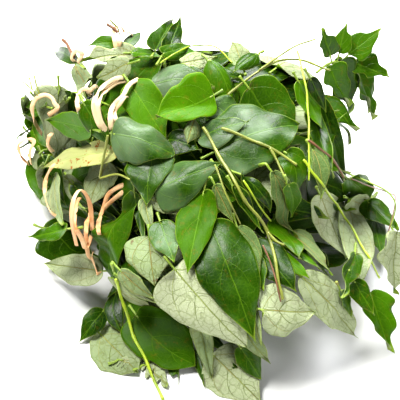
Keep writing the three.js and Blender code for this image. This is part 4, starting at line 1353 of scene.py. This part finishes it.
def make_stems():
    """The cut vine stems, twigs, buds and tendrils over the pile."""
    looks = {key: stem_look(f"{key}_stem", *colours) for key, colours in STEM_COLOURS.items()}
    for name, node, radius, colour, routes in STEMS:
        shell = Shell()
        for number, route in enumerate(routes):
            own = radius * (1 if number == 0 else 0.8)
            shown = line_length(np.array(route, float)[:, :2])[-1]
            path = over_leaves(route, max(int(shown / 2.5), 12), own)
            length = line_length(path)[-1]
            gone = np.linspace(0, length, len(path))
            from_joint = (gone + 9) % NODE_SPACING - NODE_SPACING / 2
            radii = own * (1 + 0.28 * np.exp(-((from_joint / 2.2) ** 2))) * (1 - 0.15 * gone / length)
            path += 0.35 * own * np.sin(gone / 7)[:, None] * np.array([0.7, 0.3, 0.6])
            tint = (0.5, rng.uniform(-0.12, 0.05), 0)
            add_tube(shell, path, radii, 0, 12, tint, number * 31.0 + len(name))
            skin.mark(path * (1 + own / np.linalg.norm(path, axis=1, keepdims=True)), True)
        add_piece(shell, f"{name}_detailed" if node else name, [looks[colour]], node)


# ------------------------------------------------------------------ shoots that stand clear


def free_base(foot, points, faces, bend):
    """A blade in the air from its foot, pointing and facing these ways, bent back along its length."""
    axis = unit(np.array(points, float))
    side = unit(np.cross(np.array(faces, float), axis))
    facing = np.cross(axis, side)

    def base(along, across):
        bent = -bend * along**2 / 60
        return foot + along[..., None] * axis + across[..., None] * side + bent[..., None] * facing

    return base


SHOOT_STEPS = 30

# Each shoot: node, kind, stem radius, stem route, and blades with their place along the stem, the ways
# they point and face, length and width, in mm.
SHOOTS = [
    ("leafy_side_shoot", "green", 1.5,
     [(121, 103, 143), (133, 110, 149), (147, 117, 148), (165, 125, 139)],
     [(1.0, (0.35, -0.3, -0.9), (0.6, -0.7, 0.45), 56, 30),
      (0.72, (0.72, 0.3, 0.5), (-0.3, -0.8, 0.7), 42, 30),
      (0.55, (0.3, -0.35, -0.88), (0.2, -0.9, 0.4), 58, 32),
      (0.3, (0.5, -0.45, -0.74), (0.1, -0.7, 0.7), 46, 26),
      (0.85, (0.85, -0.2, -0.2), (0.1, -0.6, 0.8), 40, 24),
      (0.6, (0.1, 0.3, 0.6), (-0.4, -0.8, 0.4), 30, 20),
      (0.9, (0.5, -0.5, -0.9), (0.6, -0.5, 0.3), 62, 24),
      (0.45, (-0.2, 0.2, 0.5), (0.1, -0.9, 0.4), 30, 18)]),
    ("hanging_leaf_shoot", "pale", 1.0,
     [(146, 10, 87), (168, -10, 91), (183, -25, 92), (190, -36, 84), (186, -48, 68)],
     [(1.0, (0.06, -0.66, -0.75), (0.25, -0.72, 0.64), 60, 44)]),
    ("right_low_dark_leaf", "green", 1.1, [(142, -90, 56), (150, -97, 50), (157, -103, 43)],
     [(1.0, (0.3, -0.86, -0.42), (0.25, -0.35, 0.9), 54, 32)]),
]


def make_shoots():
    """The shoots that stand clear of the heap, each a stem with its leaves."""
    form = {"foot": 0.34, "lobe": 0.12, "wave": 4.0, "waves": 2.6, "arch": 2.0, "warp": 2.0, "fold": 0.15,
            "point": 1.6, "crease": 0.15}
    for name, kind, radius, route, blades in SHOOTS:
        upper_out, tint, slot = KINDS[kind]
        shell = Shell()
        path = resampling(len(route), SHOOT_STEPS) @ np.array(route, float)
        radii = np.linspace(radius, radius * 0.7, SHOOT_STEPS)
        add_tube(shell, path, radii, STALK, 10, (0.4, 0.0, 0), 3.0)
        for share, points, faces, length, width in blades:
            start = path[int(share * (SHOOT_STEPS - 1))]
            base = free_base(start + unit(np.array(points, float)) * 6, points, faces, 0.16)
            blade = Blade(base, {**form, "length": length, "width": width, "phase": rng.uniform(0, 6)})
            seed = float(rng.uniform(0, 900))
            leaf_tint = (tint[0] + rng.uniform(-0.1, 0.3), tint[1], 0)
            surface, _ = add_blade(shell, blade, 34, 19, upper_out, leaf_tint, seed, out=np.array(faces))
            stalk = start + np.linspace(0, 1, 6)[:, None] * (surface[3, 9] - start)
            add_tube(shell, stalk, np.full(6, 0.9), STALK, 8, tint, seed)
        add_piece(shell, f"{name}_detailed", OLDER_LOOKS, name)


make_camera()
make_stage()
pile_up()
bunch_foliage()
make_ties()
make_stems()
make_shoots()
